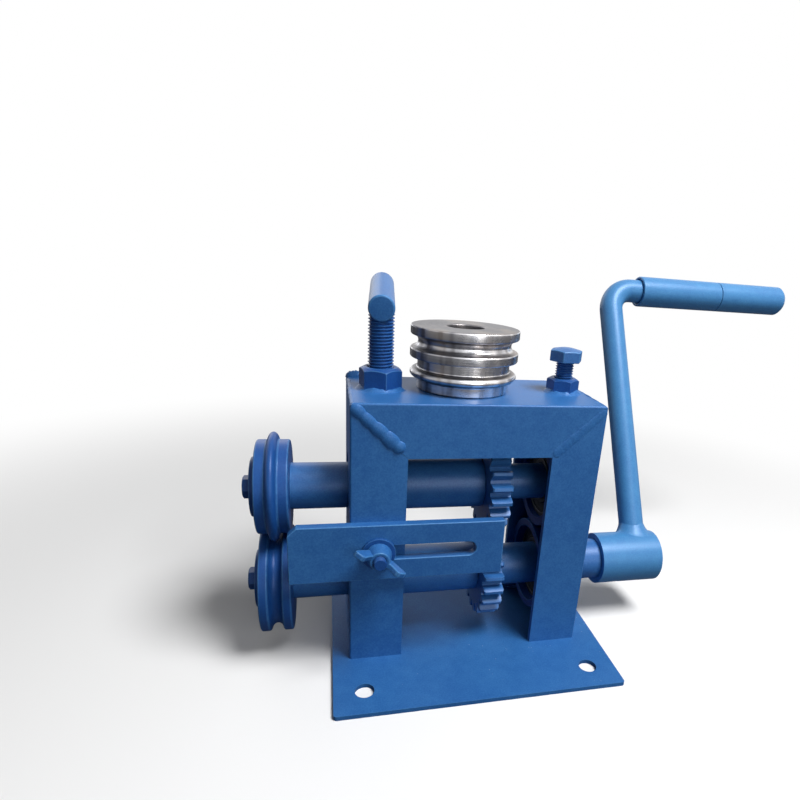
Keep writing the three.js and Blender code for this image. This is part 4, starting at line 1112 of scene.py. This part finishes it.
class BuildBearings(Build, bpy.types.Operator):
    """Races and seals of the four bearings"""
    bl_idname = "crimper.bearings"
    bl_label = "Bearings"

    def execute(self, context):
        sizes = context.scene.crimper_turned
        still = {"lower_left": "frame", "lower_right": "frame", "upper_left": "upper_carrier",
                 "upper_right": "upper_carrier"}
        for name, body in still.items():
            low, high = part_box(f"{name}_outer_race")
            inner_low, inner_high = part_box(f"{name}_inner_race")
            at = axis_of(f"{name}_outer_race")
            outside = (high.z - low.z) / 2
            bore = (inner_high.z - inner_low.z) / 2 - sizes.race
            rings = (("outer", outside - sizes.race, outside, body),
                     ("inner", bore, bore + sizes.race, SHAFTS[name.split("_")[0]]))
            for which, inside, outer, carrier in rings:
                race = turned(ring(inside, outer, low.x, high.x), X_AXIS, at)
                race = softened(race, SMALL_EDGE)
                piece(f"{name}_{which}_ring", race, finished("bearing"), carrier,
                      [f"{name}_{which}_race"])
            start, end = low.x + sizes.seal_recess, high.x - sizes.seal_recess
            dish, lip, edge, rim_play = 0.0005, 0.001, 0.0002, 0.00025
            inside, rim = bore + sizes.race + PLAY, outside - sizes.race - rim_play
            waist = (inside + rim) / 2
            profile = [(inside, start), (inside + lip, start), (waist, start + dish),
                       (rim - lip, start), (rim, start), (rim, end), (rim - lip, end),
                       (waist, end - dish), (inside + lip, end), (inside, end)]
            seal = softened(turned(profile, X_AXIS, at), edge, 2, 50.0)
            piece(f"{name}_seal_ring", seal, finished("seal"), body, [f"{name}_seal"])
        return {"FINISHED"}


class BuildShafts(Build, bpy.types.Operator):
    """Both shafts, with their spigots, shoulders and key seats"""
    bl_idname = "crimper.shafts"
    bl_label = "Shafts"

    def execute(self, context):
        sizes = context.scene.crimper_turned
        past_gear, tapped, past_end = 0.006, 0.032, 0.001
        for name, body in SHAFTS.items():
            low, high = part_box(f"{name}_shaft")
            at = axis_of(f"{name}_left_outer_race")
            radius = (high.z - low.z) / 2
            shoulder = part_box(f"{name}_roller")[1].x
            profile = [(0, low.x), (sizes.spigot / 2, low.x), (sizes.spigot / 2, shoulder),
                       (radius, shoulder)]
            if name == "upper":
                tail = (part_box("upper_right_inner_race")[1].z - at.z) - sizes.race - sizes.fit
                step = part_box("upper_gear")[1].x + past_gear
                profile += [(radius, step), (tail, step), (tail, high.x), (0, high.x)]
            else:
                profile += [(radius, high.x), (0, high.x)]
            form = turned(profile, X_AXIS, at, closed=False)
            key_low, key_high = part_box(f"{name}_gear_key")
            play = Vector((sizes.fit, sizes.fit, sizes.fit))
            seat = solid_box(key_low - play, key_high + play + Z_AXIS * PAST)
            bolt = cylinder(sizes.bolt / 2 + sizes.fit, low.x - past_end, low.x + tapped, X_AXIS,
                            at)
            form = softened(combined(form, [seat, bolt]), SMALL_EDGE, 2, 35.0)
            painted(f"{name}_shaft", form, body, "round")
            low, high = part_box(f"{name}_spacer")
            tube = turned(ring(radius + sizes.fit, (high.z - low.z) / 2, low.x, high.x), X_AXIS, at)
            painted(f"{name}_spacer", softened(tube, SMALL_EDGE, 2), body, "round")
        return {"FINISHED"}


def roller_profile(sizes, male, land, width, start, steps=14):
    """Half section of a forming roller from its outer face inwards, as (radius, along)."""
    half = (sizes.ridge_width if male else sizes.groove_width) / 2
    rise = sizes.ridge_height if male else -sizes.groove_depth
    bore = sizes.spigot / 2 + sizes.fit
    form = []
    for i in range(steps + 1):
        turn = math.pi * i / steps
        form.append((land + rise * math.sin(turn), start + width / 2 - half * math.cos(turn)))
    return [(bore, start), (land, start), *form, (land, start + width), (bore, start + width)]


class BuildRollers(Build, bpy.types.Operator):
    """The two forming rollers with their washers and bolts"""
    bl_idname = "crimper.rollers"
    bl_label = "Forming rollers"

    def execute(self, context):
        sizes = context.scene.crimper_turned
        for name, body in SHAFTS.items():
            low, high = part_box(f"{name}_roller")
            at = axis_of(f"{name}_left_outer_race")
            male = name == "upper"
            land = (high.z - low.z) / 2 - (sizes.ridge_height if male else 0)
            profile = roller_profile(sizes, male, land, high.x - low.x, low.x)
            form = softened(turned(profile, X_AXIS, at, steps=128), sizes.roller_edge, 3, 40.0)
            painted(f"{name}_roller", form, body, "deep")
            low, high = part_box(f"{name}_roller_washer")
            washer = turned(ring(sizes.bolt / 2 + sizes.fit, (high.z - low.z) / 2, low.x, high.x),
                            X_AXIS, at)
            painted(f"{name}_roller_washer", softened(washer, SMALL_EDGE, 2), body, "deep")
            seat = low.x
            low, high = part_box(f"{name}_roller_bolt")
            head = bolt_head(seat - low.x, -X_AXIS, (seat, at.y, at.z), math.pi / 6)
            shank = cylinder(sizes.bolt / 2, seat, high.x, X_AXIS, at, 32)
            painted(f"{name}_roller_bolt", joined(head, shank), body, "deep")
        return {"FINISHED"}


class BuildGears(Build, bpy.types.Operator):
    """Two equal involute spur gears with keyways"""
    bl_idname = "crimper.gears"
    bl_label = "Gears"

    def execute(self, context):
        sizes = context.scene.crimper_turned
        for name, body in SHAFTS.items():
            low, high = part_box(f"{name}_gear")
            at = axis_of(f"{name}_left_outer_race")
            gear = prism([Vector((low.x, radius * math.cos(turn), radius * math.sin(turn))) + at
                          for radius, turn in self.outline(sizes)], (high.x - low.x, 0, 0))
            tip, cut = (high.z - low.z) / 2, sizes.tooth_chamfer
            blank = turned([(0, low.x), (tip - cut, low.x), (tip, low.x + cut),
                            (tip, high.x - cut), (tip - cut, high.x), (0, high.x)], X_AXIS, at,
                           closed=False, steps=168)
            gear = combined(gear, [blank], "INTERSECT")
            key_low, key_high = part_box(f"{name}_gear_key")
            radius = (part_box(f"{name}_shaft")[1].z - at.z) + sizes.fit
            start, end = low.x - PAST, high.x + PAST
            keyway = solid_box((start, key_low.y - sizes.fit, at.z),
                               (end, key_high.y + sizes.fit, key_high.z + sizes.fit))
            gear = combined(gear, [cylinder(radius, start, end, X_AXIS, at), keyway])
            painted(f"{name}_gear", softened(gear, sizes.tooth_edge, 2, 40.0), body, "round")
        return {"FINISHED"}

    def outline(self, sizes):
        """The teeth's outline as (radius, angle), turned from a tooth that points up."""
        pitch = sizes.tooth_module * sizes.teeth / 2
        tip = pitch + sizes.tooth_module
        root = pitch - 1.25 * sizes.tooth_module
        base = pitch * math.cos(sizes.pressure_angle)

        def involute(radius):
            roll = math.sqrt(max((radius / base) ** 2 - 1, 0))
            return roll - math.atan(roll)

        half_tooth = math.pi / (2 * sizes.teeth) - sizes.tooth_thinning / pitch
        fillet_height, fillet_width = 0.0006, 0.0007
        radii = [root, root + fillet_height, base,
                 *(base + (tip - base) * i / 6 for i in range(1, 7))]
        for tooth in range(sizes.teeth):
            centre = math.pi / 2 + sizes.tooth_turn + tooth * TURN / sizes.teeth
            flank = []
            for radius in radii:
                half = half_tooth + involute(pitch) - involute(max(radius, base))
                if radius == root:
                    half += fillet_width / root
                flank.append((radius, half))
            yield from ((radius, centre - half) for radius, half in flank)
            yield from ((radius, centre + half) for radius, half in reversed(flank))


class BuildCrank(Build, bpy.types.Operator):
    """Crank hub, bent rod with its weld, turning sleeve and closed grip end"""
    bl_idname = "crimper.crank"
    bl_label = "Crank"

    def execute(self, context):
        sizes = context.scene.crimper_crank
        axis = middle("lower_left_outer_race")
        lean = Matrix.Translation((0, 0, axis.z)) @ Matrix.Rotation(-sizes.lean, 4, "X")
        low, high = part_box("crank_hub")
        outside = (high.y - low.y) / 2
        grub_radius = 0.00425
        grub_hole = cylinder(grub_radius, -outside * 1.1, -outside * 0.5,
                             at=(middle("crank_grub_screw").x, 0, 0))
        hub = combined(turned(ring(sizes.hub_bore / 2, outside, low.x, high.x)), [grub_hole])
        hub = softened(hub, sizes.hub_edge, 3, 35.0)
        # The crank's pieces take the lit copy of the blue paint as painted light
        painted("crank_hub", moved(hub, lean), "crank", "crank")
        rod_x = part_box("crank_rod")[0].x + sizes.rod / 2
        sleeve_low, sleeve_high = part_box("grip_sleeve")
        end_low, end_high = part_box("grip_end")
        tip = sizes.grip_tip
        cap, short_of_cap = 0.0078, 0.0007
        bore_end = end_high.x - cap
        self.rod(sizes, lean, rod_x, outside, bore_end - short_of_cap)
        radius = (sleeve_high.z - sleeve_low.z) / 2
        bore = sizes.rod / 2 + PLAY
        at = axis_of("grip_sleeve")
        sleeve = turned(ring(bore, radius, sleeve_low.x, sleeve_high.x), X_AXIS, at)
        painted("grip_sleeve", softened(sleeve, sizes.grip_edge), "grip_sleeve", "crank")
        end = turned([(0, bore_end), (bore, bore_end), (bore, end_low.x), (radius, end_low.x),
                      (radius, end_high.x - tip), (radius - tip * 0.7, end_high.x),
                      (0, end_high.x)], X_AXIS, at, closed=False)
        painted("grip_end", softened(end, SMALL_EDGE, 3, 35.0), "crank", "crank")
        return {"FINISHED"}

    def rod(self, sizes, lean, rod_x, hub_radius, end_x):
        """The rod from the hub up, round the bend and along the grip, with its weld at the foot."""
        radius = sizes.rod / 2
        sunk = 0.003
        knee = sizes.radius - sizes.bend
        bend_steps = 20
        path = [(Vector((rod_x, 0, hub_radius - sunk)), Z_AXIS), (Vector((rod_x, 0, knee)), Z_AXIS)]
        for i in range(1, bend_steps + 1):
            turn = math.pi / 2 * i / bend_steps
            point = Vector((rod_x + sizes.bend * (1 - math.cos(turn)), 0,
                            knee + sizes.bend * math.sin(turn)))
            path.append((point, Vector((math.sin(turn), 0, math.cos(turn)))))
        path.append((Vector((end_x, 0, sizes.radius)), X_AXIS))
        form = swept([station(point, ahead, Y_AXIS, radius, radius) for point, ahead in path], 48)
        painted("crank_rod", moved(form, lean), "crank", "crank")
        overlap = 0.0003
        foot = puddle(radius - overlap, sizes.weld_reach, sizes.weld_height, seed=61, curl=2.0,
                      rough=0.35)
        for vert in foot.verts:
            vert.co.x += rod_x
            vert.co.z += math.sqrt(hub_radius ** 2 - vert.co.y ** 2)
        piece("crank_weld", moved(foot, lean), finished("crank"), "crank", smooth=60.0)


def welded_nut(node, turn, screw_radius, crown):
    """One of the nuts on the beam. Its flats are as far apart as its box is wide on one side."""
    low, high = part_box(node)
    flats = min(high.x - low.x, high.y - low.y)
    centre = middle(node)
    nut = hex_form(flats, high.z - low.z, turn, crown, screw_radius + PLAY)
    nut = shifted(softened(nut, NUT_EDGE, 3, 25.0), (centre.x, centre.y, low.z))
    painted(node, nut, "frame", "deep")


class BuildPressureScrew(Build, bpy.types.Operator):
    """Pressure screw with its thread, cross bar and welded nut"""
    bl_idname = "crimper.pressure_screw"
    bl_label = "Pressure screw"

    def execute(self, context):
        sizes = context.scene.crimper_screws
        low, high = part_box("pressure_screw")
        centre = middle("pressure_nut")
        at = Vector((centre.x, centre.y, 0))
        radius = sizes.pressure_screw / 2
        pad_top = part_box("pressure_pad")[1].z
        saddle, tip_radius, tip_sunk, bar_edge = 0.003, 0.004, 0.001, 0.0012
        screw = thread(radius, sizes.pressure_pitch, pad_top + PLAY, high.z + saddle, at)
        tip = turned(rod(tip_radius, low.z, pad_top + tip_sunk), Z_AXIS, at, closed=False,
                     steps=32)
        piece("threaded_pressure_screw", joined(screw, tip), finished("thread"),
              "pressure_screw", ["pressure_screw"], 40.0)
        bar_radius = sizes.bar / 2
        bar_z = high.z - saddle + bar_radius / math.cos(sizes.bar_rise)
        bar = turned(rod(bar_radius, -sizes.bar_front, sizes.bar_back), Z_AXIS, closed=False,
                     steps=64)
        level, rise = Euler((0, 0, -sizes.bar_turn)), Euler((sizes.bar_rise, 0, 0))
        direction = level.to_matrix() @ rise.to_matrix() @ Y_AXIS
        bar = softened(bar, bar_edge, 3, 40.0)
        bar = moved(bar, facing(direction, (at.x, at.y, bar_z)))
        piece("painted_cross_bar", bar, finished("blue"), "pressure_screw", ["tommy_bar"],
              smooth=40.0)
        welded_nut("pressure_nut", math.pi / 6 + sizes.pressure_nut_turn, radius, crown=0.6)
        return {"FINISHED"}


class BuildSettingScrew(Build, bpy.types.Operator):
    """Setting screw with its hexagon head and welded nut"""
    bl_idname = "crimper.setting_screw"
    bl_label = "Setting screw"

    def execute(self, context):
        sizes = context.scene.crimper_screws
        low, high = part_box("setting_screw")
        centre = middle("setting_nut")
        at = Vector((centre.x, centre.y, 0))
        radius = sizes.setting_screw / 2
        height = sizes.setting_head
        head_foot = high.z - height
        sunk, widening = 0.001, 1.04
        shank = thread(radius, sizes.setting_pitch, low.z, head_foot + sunk, at)
        flats = (high.y - low.y) * widening
        dome = turned([(0, 0), (flats, 0), (flats, height * 0.55), (flats * 0.42, height * 0.9),
                       (flats * 0.22, height), (0, height)], Z_AXIS, closed=False)
        head = combined(hex_form(flats, height, crown=0.3), [dome], "INTERSECT")
        head = shifted(softened(head, SMALL_EDGE, 3, 20.0), (at.x, at.y, head_foot))
        for name, form, finish in (("threaded_setting_screw", shank, "thread"),
                                   ("painted_setting_head", head, "round")):
            piece(name, form, finished(finish), "setting_screw", ["setting_screw"], 40.0)
        welded_nut("setting_nut", sizes.setting_nut_turn, radius, crown=0.5)
        return {"FINISHED"}


class BuildEdgeGuide(Build, bpy.types.Operator):
    """Slotted edge guide with its bolt, washer and wing nut"""
    bl_idname = "crimper.edge_guide"
    bl_label = "Edge guide"

    def execute(self, context):
        sizes = context.scene.crimper_screws
        low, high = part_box("edge_guide")
        bolt = middle("clamp_bolt")
        cut = sizes.guide_corner
        corners = [(low.x, low.z), (high.x, low.z), (high.x, high.z), (low.x + cut, high.z),
                   (low.x, high.z - cut)]
        plate = prism([(x, low.y, z) for x, z in corners], (0, high.y - low.y, 0))
        radius = sizes.guide_slot / 2
        start, end = bolt.x - sizes.slot_left + radius, bolt.x + sizes.slot_right - radius
        front, back = low.y - PAST, high.y + PAST
        slot = [cylinder(radius, front, back, Y_AXIS, (x, 0, bolt.z)) for x in (start, end)]
        slot.append(solid_box((start, front, bolt.z - radius), (end, back, bolt.z + radius)))
        plate = softened(combined(plate, slot), sizes.guide_edge, 3, 35.0)
        painted("edge_guide", plate, "edge_guide")
        self.clamp(sizes, bolt)
        return {"FINISHED"}

    def clamp(self, sizes, bolt):
        low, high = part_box("clamp_bolt")
        at = Vector((bolt.x, 0, bolt.z))
        radius = sizes.clamp_bolt / 2
        head_height, washer_edge = 0.0053, 0.0004
        shank = thread(radius, sizes.clamp_pitch, -high.y, -low.y, at, -Y_AXIS, SMALL_EDGE)
        head = bolt_head(head_height, Y_AXIS, (bolt.x, high.y - head_height, bolt.z))
        piece("threaded_clamp_bolt", joined(shank, head), finished("thread"), "frame",
              ["clamp_bolt"], 40.0)
        low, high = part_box("clamp_washer")
        washer = turned(ring(radius + PLAY, (high.x - low.x) / 2, low.y, high.y), Y_AXIS, at)
        washer = softened(washer, washer_edge, 2)
        painted("clamp_washer", washer, "clamp_washer", "deep")
        self.wing_nut(sizes, Vector((bolt.x, low.y, bolt.z)), radius)

    def wing_nut(self, sizes, at, bolt_radius):
        """A cast wing nut: hub and wings grown into each other."""
        top = sizes.wing_hub_top / 2
        foot = sizes.wing_hub / 2
        height = sizes.wing_hub_height
        hub = turned([(0, 0), (foot, 0), (foot, height * 0.17), (top, height), (0, height)],
                     Z_AXIS, closed=False, steps=64)
        hub = softened(hub, SMALL_EDGE)
        tip = sizes.wing_span / 2
        tall = sizes.wing_height
        half = sizes.wing_thickness / 2
        outline = [(0, 0.1), (0.34, 0.12), (0.5, 0.21), (0.94, 0.66), (1, 0.76), (0.97, 0.85),
                   (0.73, 1), (0.62, 0.97), (0.4, 0.66), (0.24, 0.55), (0, 0.53)]
        wings = [softened(prism([(side * tip * x, -half, tall * z) for x, z in outline],
                                (0, 2 * half, 0)), half * 0.7, 3, 25.0) for side in (1, -1)]
        form = combined(hub, wings, "UNION")
        form = combined(form, [cylinder(bolt_radius + PLAY, -PAST, 3 * PAST)])
        turn = Matrix.Rotation(-sizes.wing_turn, 4, "Y")
        form = moved(form, Matrix.Translation(at) @ turn @ facing(-Y_AXIS))
        piece("cast_wing_nut", form, finished("blue"), "wing_nut", ["wing_nut"], 45.0)


class BuildSpareRollers(Build, bpy.types.Operator):
    """The spare pair of rollers in bare turned steel"""
    bl_idname = "crimper.spare_rollers"
    bl_label = "Spare rollers"

    def execute(self, context):
        sizes = context.scene.crimper_turned
        for name, male in (("spare_male_roller", True), ("spare_female_roller", False)):
            low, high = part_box(name)
            centre = middle(name)
            land = (high.x - low.x) / 2 - (sizes.ridge_height if male else 0)
            profile = roller_profile(sizes, male, land, high.z - low.z, low.z)
            form = turned(profile, Z_AXIS, (centre.x, centre.y, 0), steps=144)
            form = softened(form, sizes.roller_edge * 0.8, 3, 40.0)
            steel = turned_steel(f"turned_steel_{name}", (centre.x, centre.y, low.z))
            piece(f"turned_{name}", form, steel, name, [name])
        return {"FINISHED"}


class BuildHiddenPieces(Build, bpy.types.Operator):
    """Finishes for the small pieces that keep their construction shape"""
    bl_idname = "crimper.hidden_pieces"
    bl_label = "Keys, pads and grub screw"

    def execute(self, context):
        for name in ("upper_gear_key", "lower_gear_key", "pressure_pad", "setting_button",
                     "crank_grub_screw"):
            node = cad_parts[name]
            if not node.material_slots:
                node.data.materials.append(None)
            for slot in node.material_slots:
                slot.material = finished("bearing")
        return {"FINISHED"}


class BuildStage(Build, bpy.types.Operator):
    """Pale floor and backdrop, soft lamps and the camera"""
    bl_idname = "crimper.stage"
    bl_label = "Stage"

    def execute(self, context):
        scene = context.scene
        stage = scene.crimper_stage
        self.floor(stage)
        self.world(scene, stage)
        for name, (at, target, size) in LAMPS.items():
            self.lamp(name, Vector(at), Vector(target), size, getattr(stage, name))
        self.camera(scene, stage)
        scene.view_settings.view_transform = "Standard"
        return {"FINISHED"}

    def floor(self, stage):
        """A wide floor, pale to the camera, that fades to white away from the machine."""
        bm = bmesh.new()
        bmesh.ops.create_grid(bm, x_segments=1, y_segments=1, size=6)
        floor = stored("floor", bm)
        finish = Finish("pale_floor", Roughness=0.85, Specular_IOR_Level=0.2)
        tone = finish.noise(3.0, detail=2.0)
        near = tuple(value * 0.985 for value in stage.floor)
        x, y, _ = finish.split(finish.place())
        away = ((x * x + y * y) ** 0.5).step(stage.clear * 0.4, stage.clear)
        seen = finish.light_path("Is Camera Ray")
        finish.fade_to_white(away * seen)
        shown = finish.mix(tone, near, tuple(stage.floor))
        floor.data.materials.append(finish.set(
            Base_Color=finish.mix(seen, tuple(stage.bounce), shown)))
        floor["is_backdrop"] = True

    def world(self, scene, stage):
        """Plain white to the camera, in metal and in glass, and a weak even light otherwise."""
        scene.world = bpy.data.worlds.new("studio")
        studio = Shading(scene.world, "ShaderNodeOutputWorld")
        seen = studio.light_path("Is Camera Ray")
        for kind in ("Is Glossy Ray", "Is Transmission Ray"):
            seen = seen.maths("MAXIMUM", seen, studio.light_path(kind))
        even, shown = (studio.wire("ShaderNodeBackground", {}, {
            "Color": (1, 1, 1), "Strength": power}) for power in (stage.world, 1.0))
        studio.blend(seen, even, shown)

    def lamp(self, name, at, target, size, power):
        light = bpy.data.lights.new(name, "AREA")
        light.shape = "DISK"
        light.size = size
        light.energy = power
        lamp = bpy.data.objects.new(name, light)
        bpy.context.scene.collection.objects.link(lamp)
        lamp.location = at
        lamp.rotation_euler = (at - target).to_track_quat("Z", "Y").to_euler()

    def camera(self, scene, stage):
        """The photograph's view: an eye, the way it looks, and its roll about that way."""
        lens = bpy.data.cameras.new("camera")
        lens.lens = stage.lens
        lens.sensor_width = 36
        lens.shift_x = stage.shift_x
        lens.shift_y = stage.shift_y
        camera = bpy.data.objects.new("camera", lens)
        scene.collection.objects.link(camera)
        ahead = Vector((math.sin(stage.yaw) * math.cos(stage.pitch),
                        math.cos(stage.yaw) * math.cos(stage.pitch), -math.sin(stage.pitch)))
        right = Vector((math.cos(stage.yaw), -math.sin(stage.yaw), 0))
        down = ahead.cross(right)
        across = right * math.cos(stage.roll) + down * math.sin(stage.roll)
        below = down * math.cos(stage.roll) - right * math.sin(stage.roll)
        turn = Matrix((across, -below, -ahead)).transposed().to_4x4()
        camera.matrix_world = Matrix.Translation(Vector(stage.eye)) @ turn
        scene.camera = camera


GROUPS = {
    "crimper_frame": CrimperFrameSizes,
    "crimper_turned": CrimperTurnedSizes,
    "crimper_screws": CrimperScrewSizes,
    "crimper_crank": CrimperCrankSizes,
    "crimper_finish": CrimperFinish,
    "crimper_stage": CrimperStage,
}
OPERATORS = (
    BuildStage, BuildBasePlate, BuildUprights, BuildTopBeam, BuildFrameWelds, BuildHousings,
    BuildBearings, BuildShafts, BuildRollers, BuildGears, BuildCrank, BuildPressureScrew,
    BuildSettingScrew, BuildEdgeGuide, BuildSpareRollers, BuildHiddenPieces,
)


class CrimperPanel(bpy.types.Panel):
    """Lists the crimper's pieces and their sizes"""
    bl_idname = "VIEW3D_PT_crimper"
    bl_label = "Crimper"
    bl_space_type = "VIEW_3D"
    bl_region_type = "UI"
    bl_category = "Crimper"

    def draw(self, context):
        for operator in OPERATORS:
            self.layout.operator(operator.bl_idname)
        for group in GROUPS:
            settings = getattr(context.scene, group)
            column = self.layout.box().column()
            for name in settings.__annotations__:
                column.prop(settings, name)


def register():
    for group in GROUPS.values():
        bpy.utils.register_class(group)
    for name, group in GROUPS.items():
        setattr(bpy.types.Scene, name, PointerProperty(type=group))
    for item in (*OPERATORS, CrimperPanel):
        bpy.utils.register_class(item)


def unregister():
    for item in (CrimperPanel, *reversed(OPERATORS)):
        bpy.utils.unregister_class(item)
    for name, group in GROUPS.items():
        delattr(bpy.types.Scene, name)
        bpy.utils.unregister_class(group)


def main():
    register()
    for operator in OPERATORS:
        _, name = operator.bl_idname.split(".")
        getattr(bpy.ops.crimper, name)()
    bpy.context.view_layer.update()
    boxes = {"cad": cad_bounds, "visual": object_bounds()}
    plain = {key: [list(corner) for corner in value] for key, value in boxes.items()}


if __name__ == "__main__":
    main()
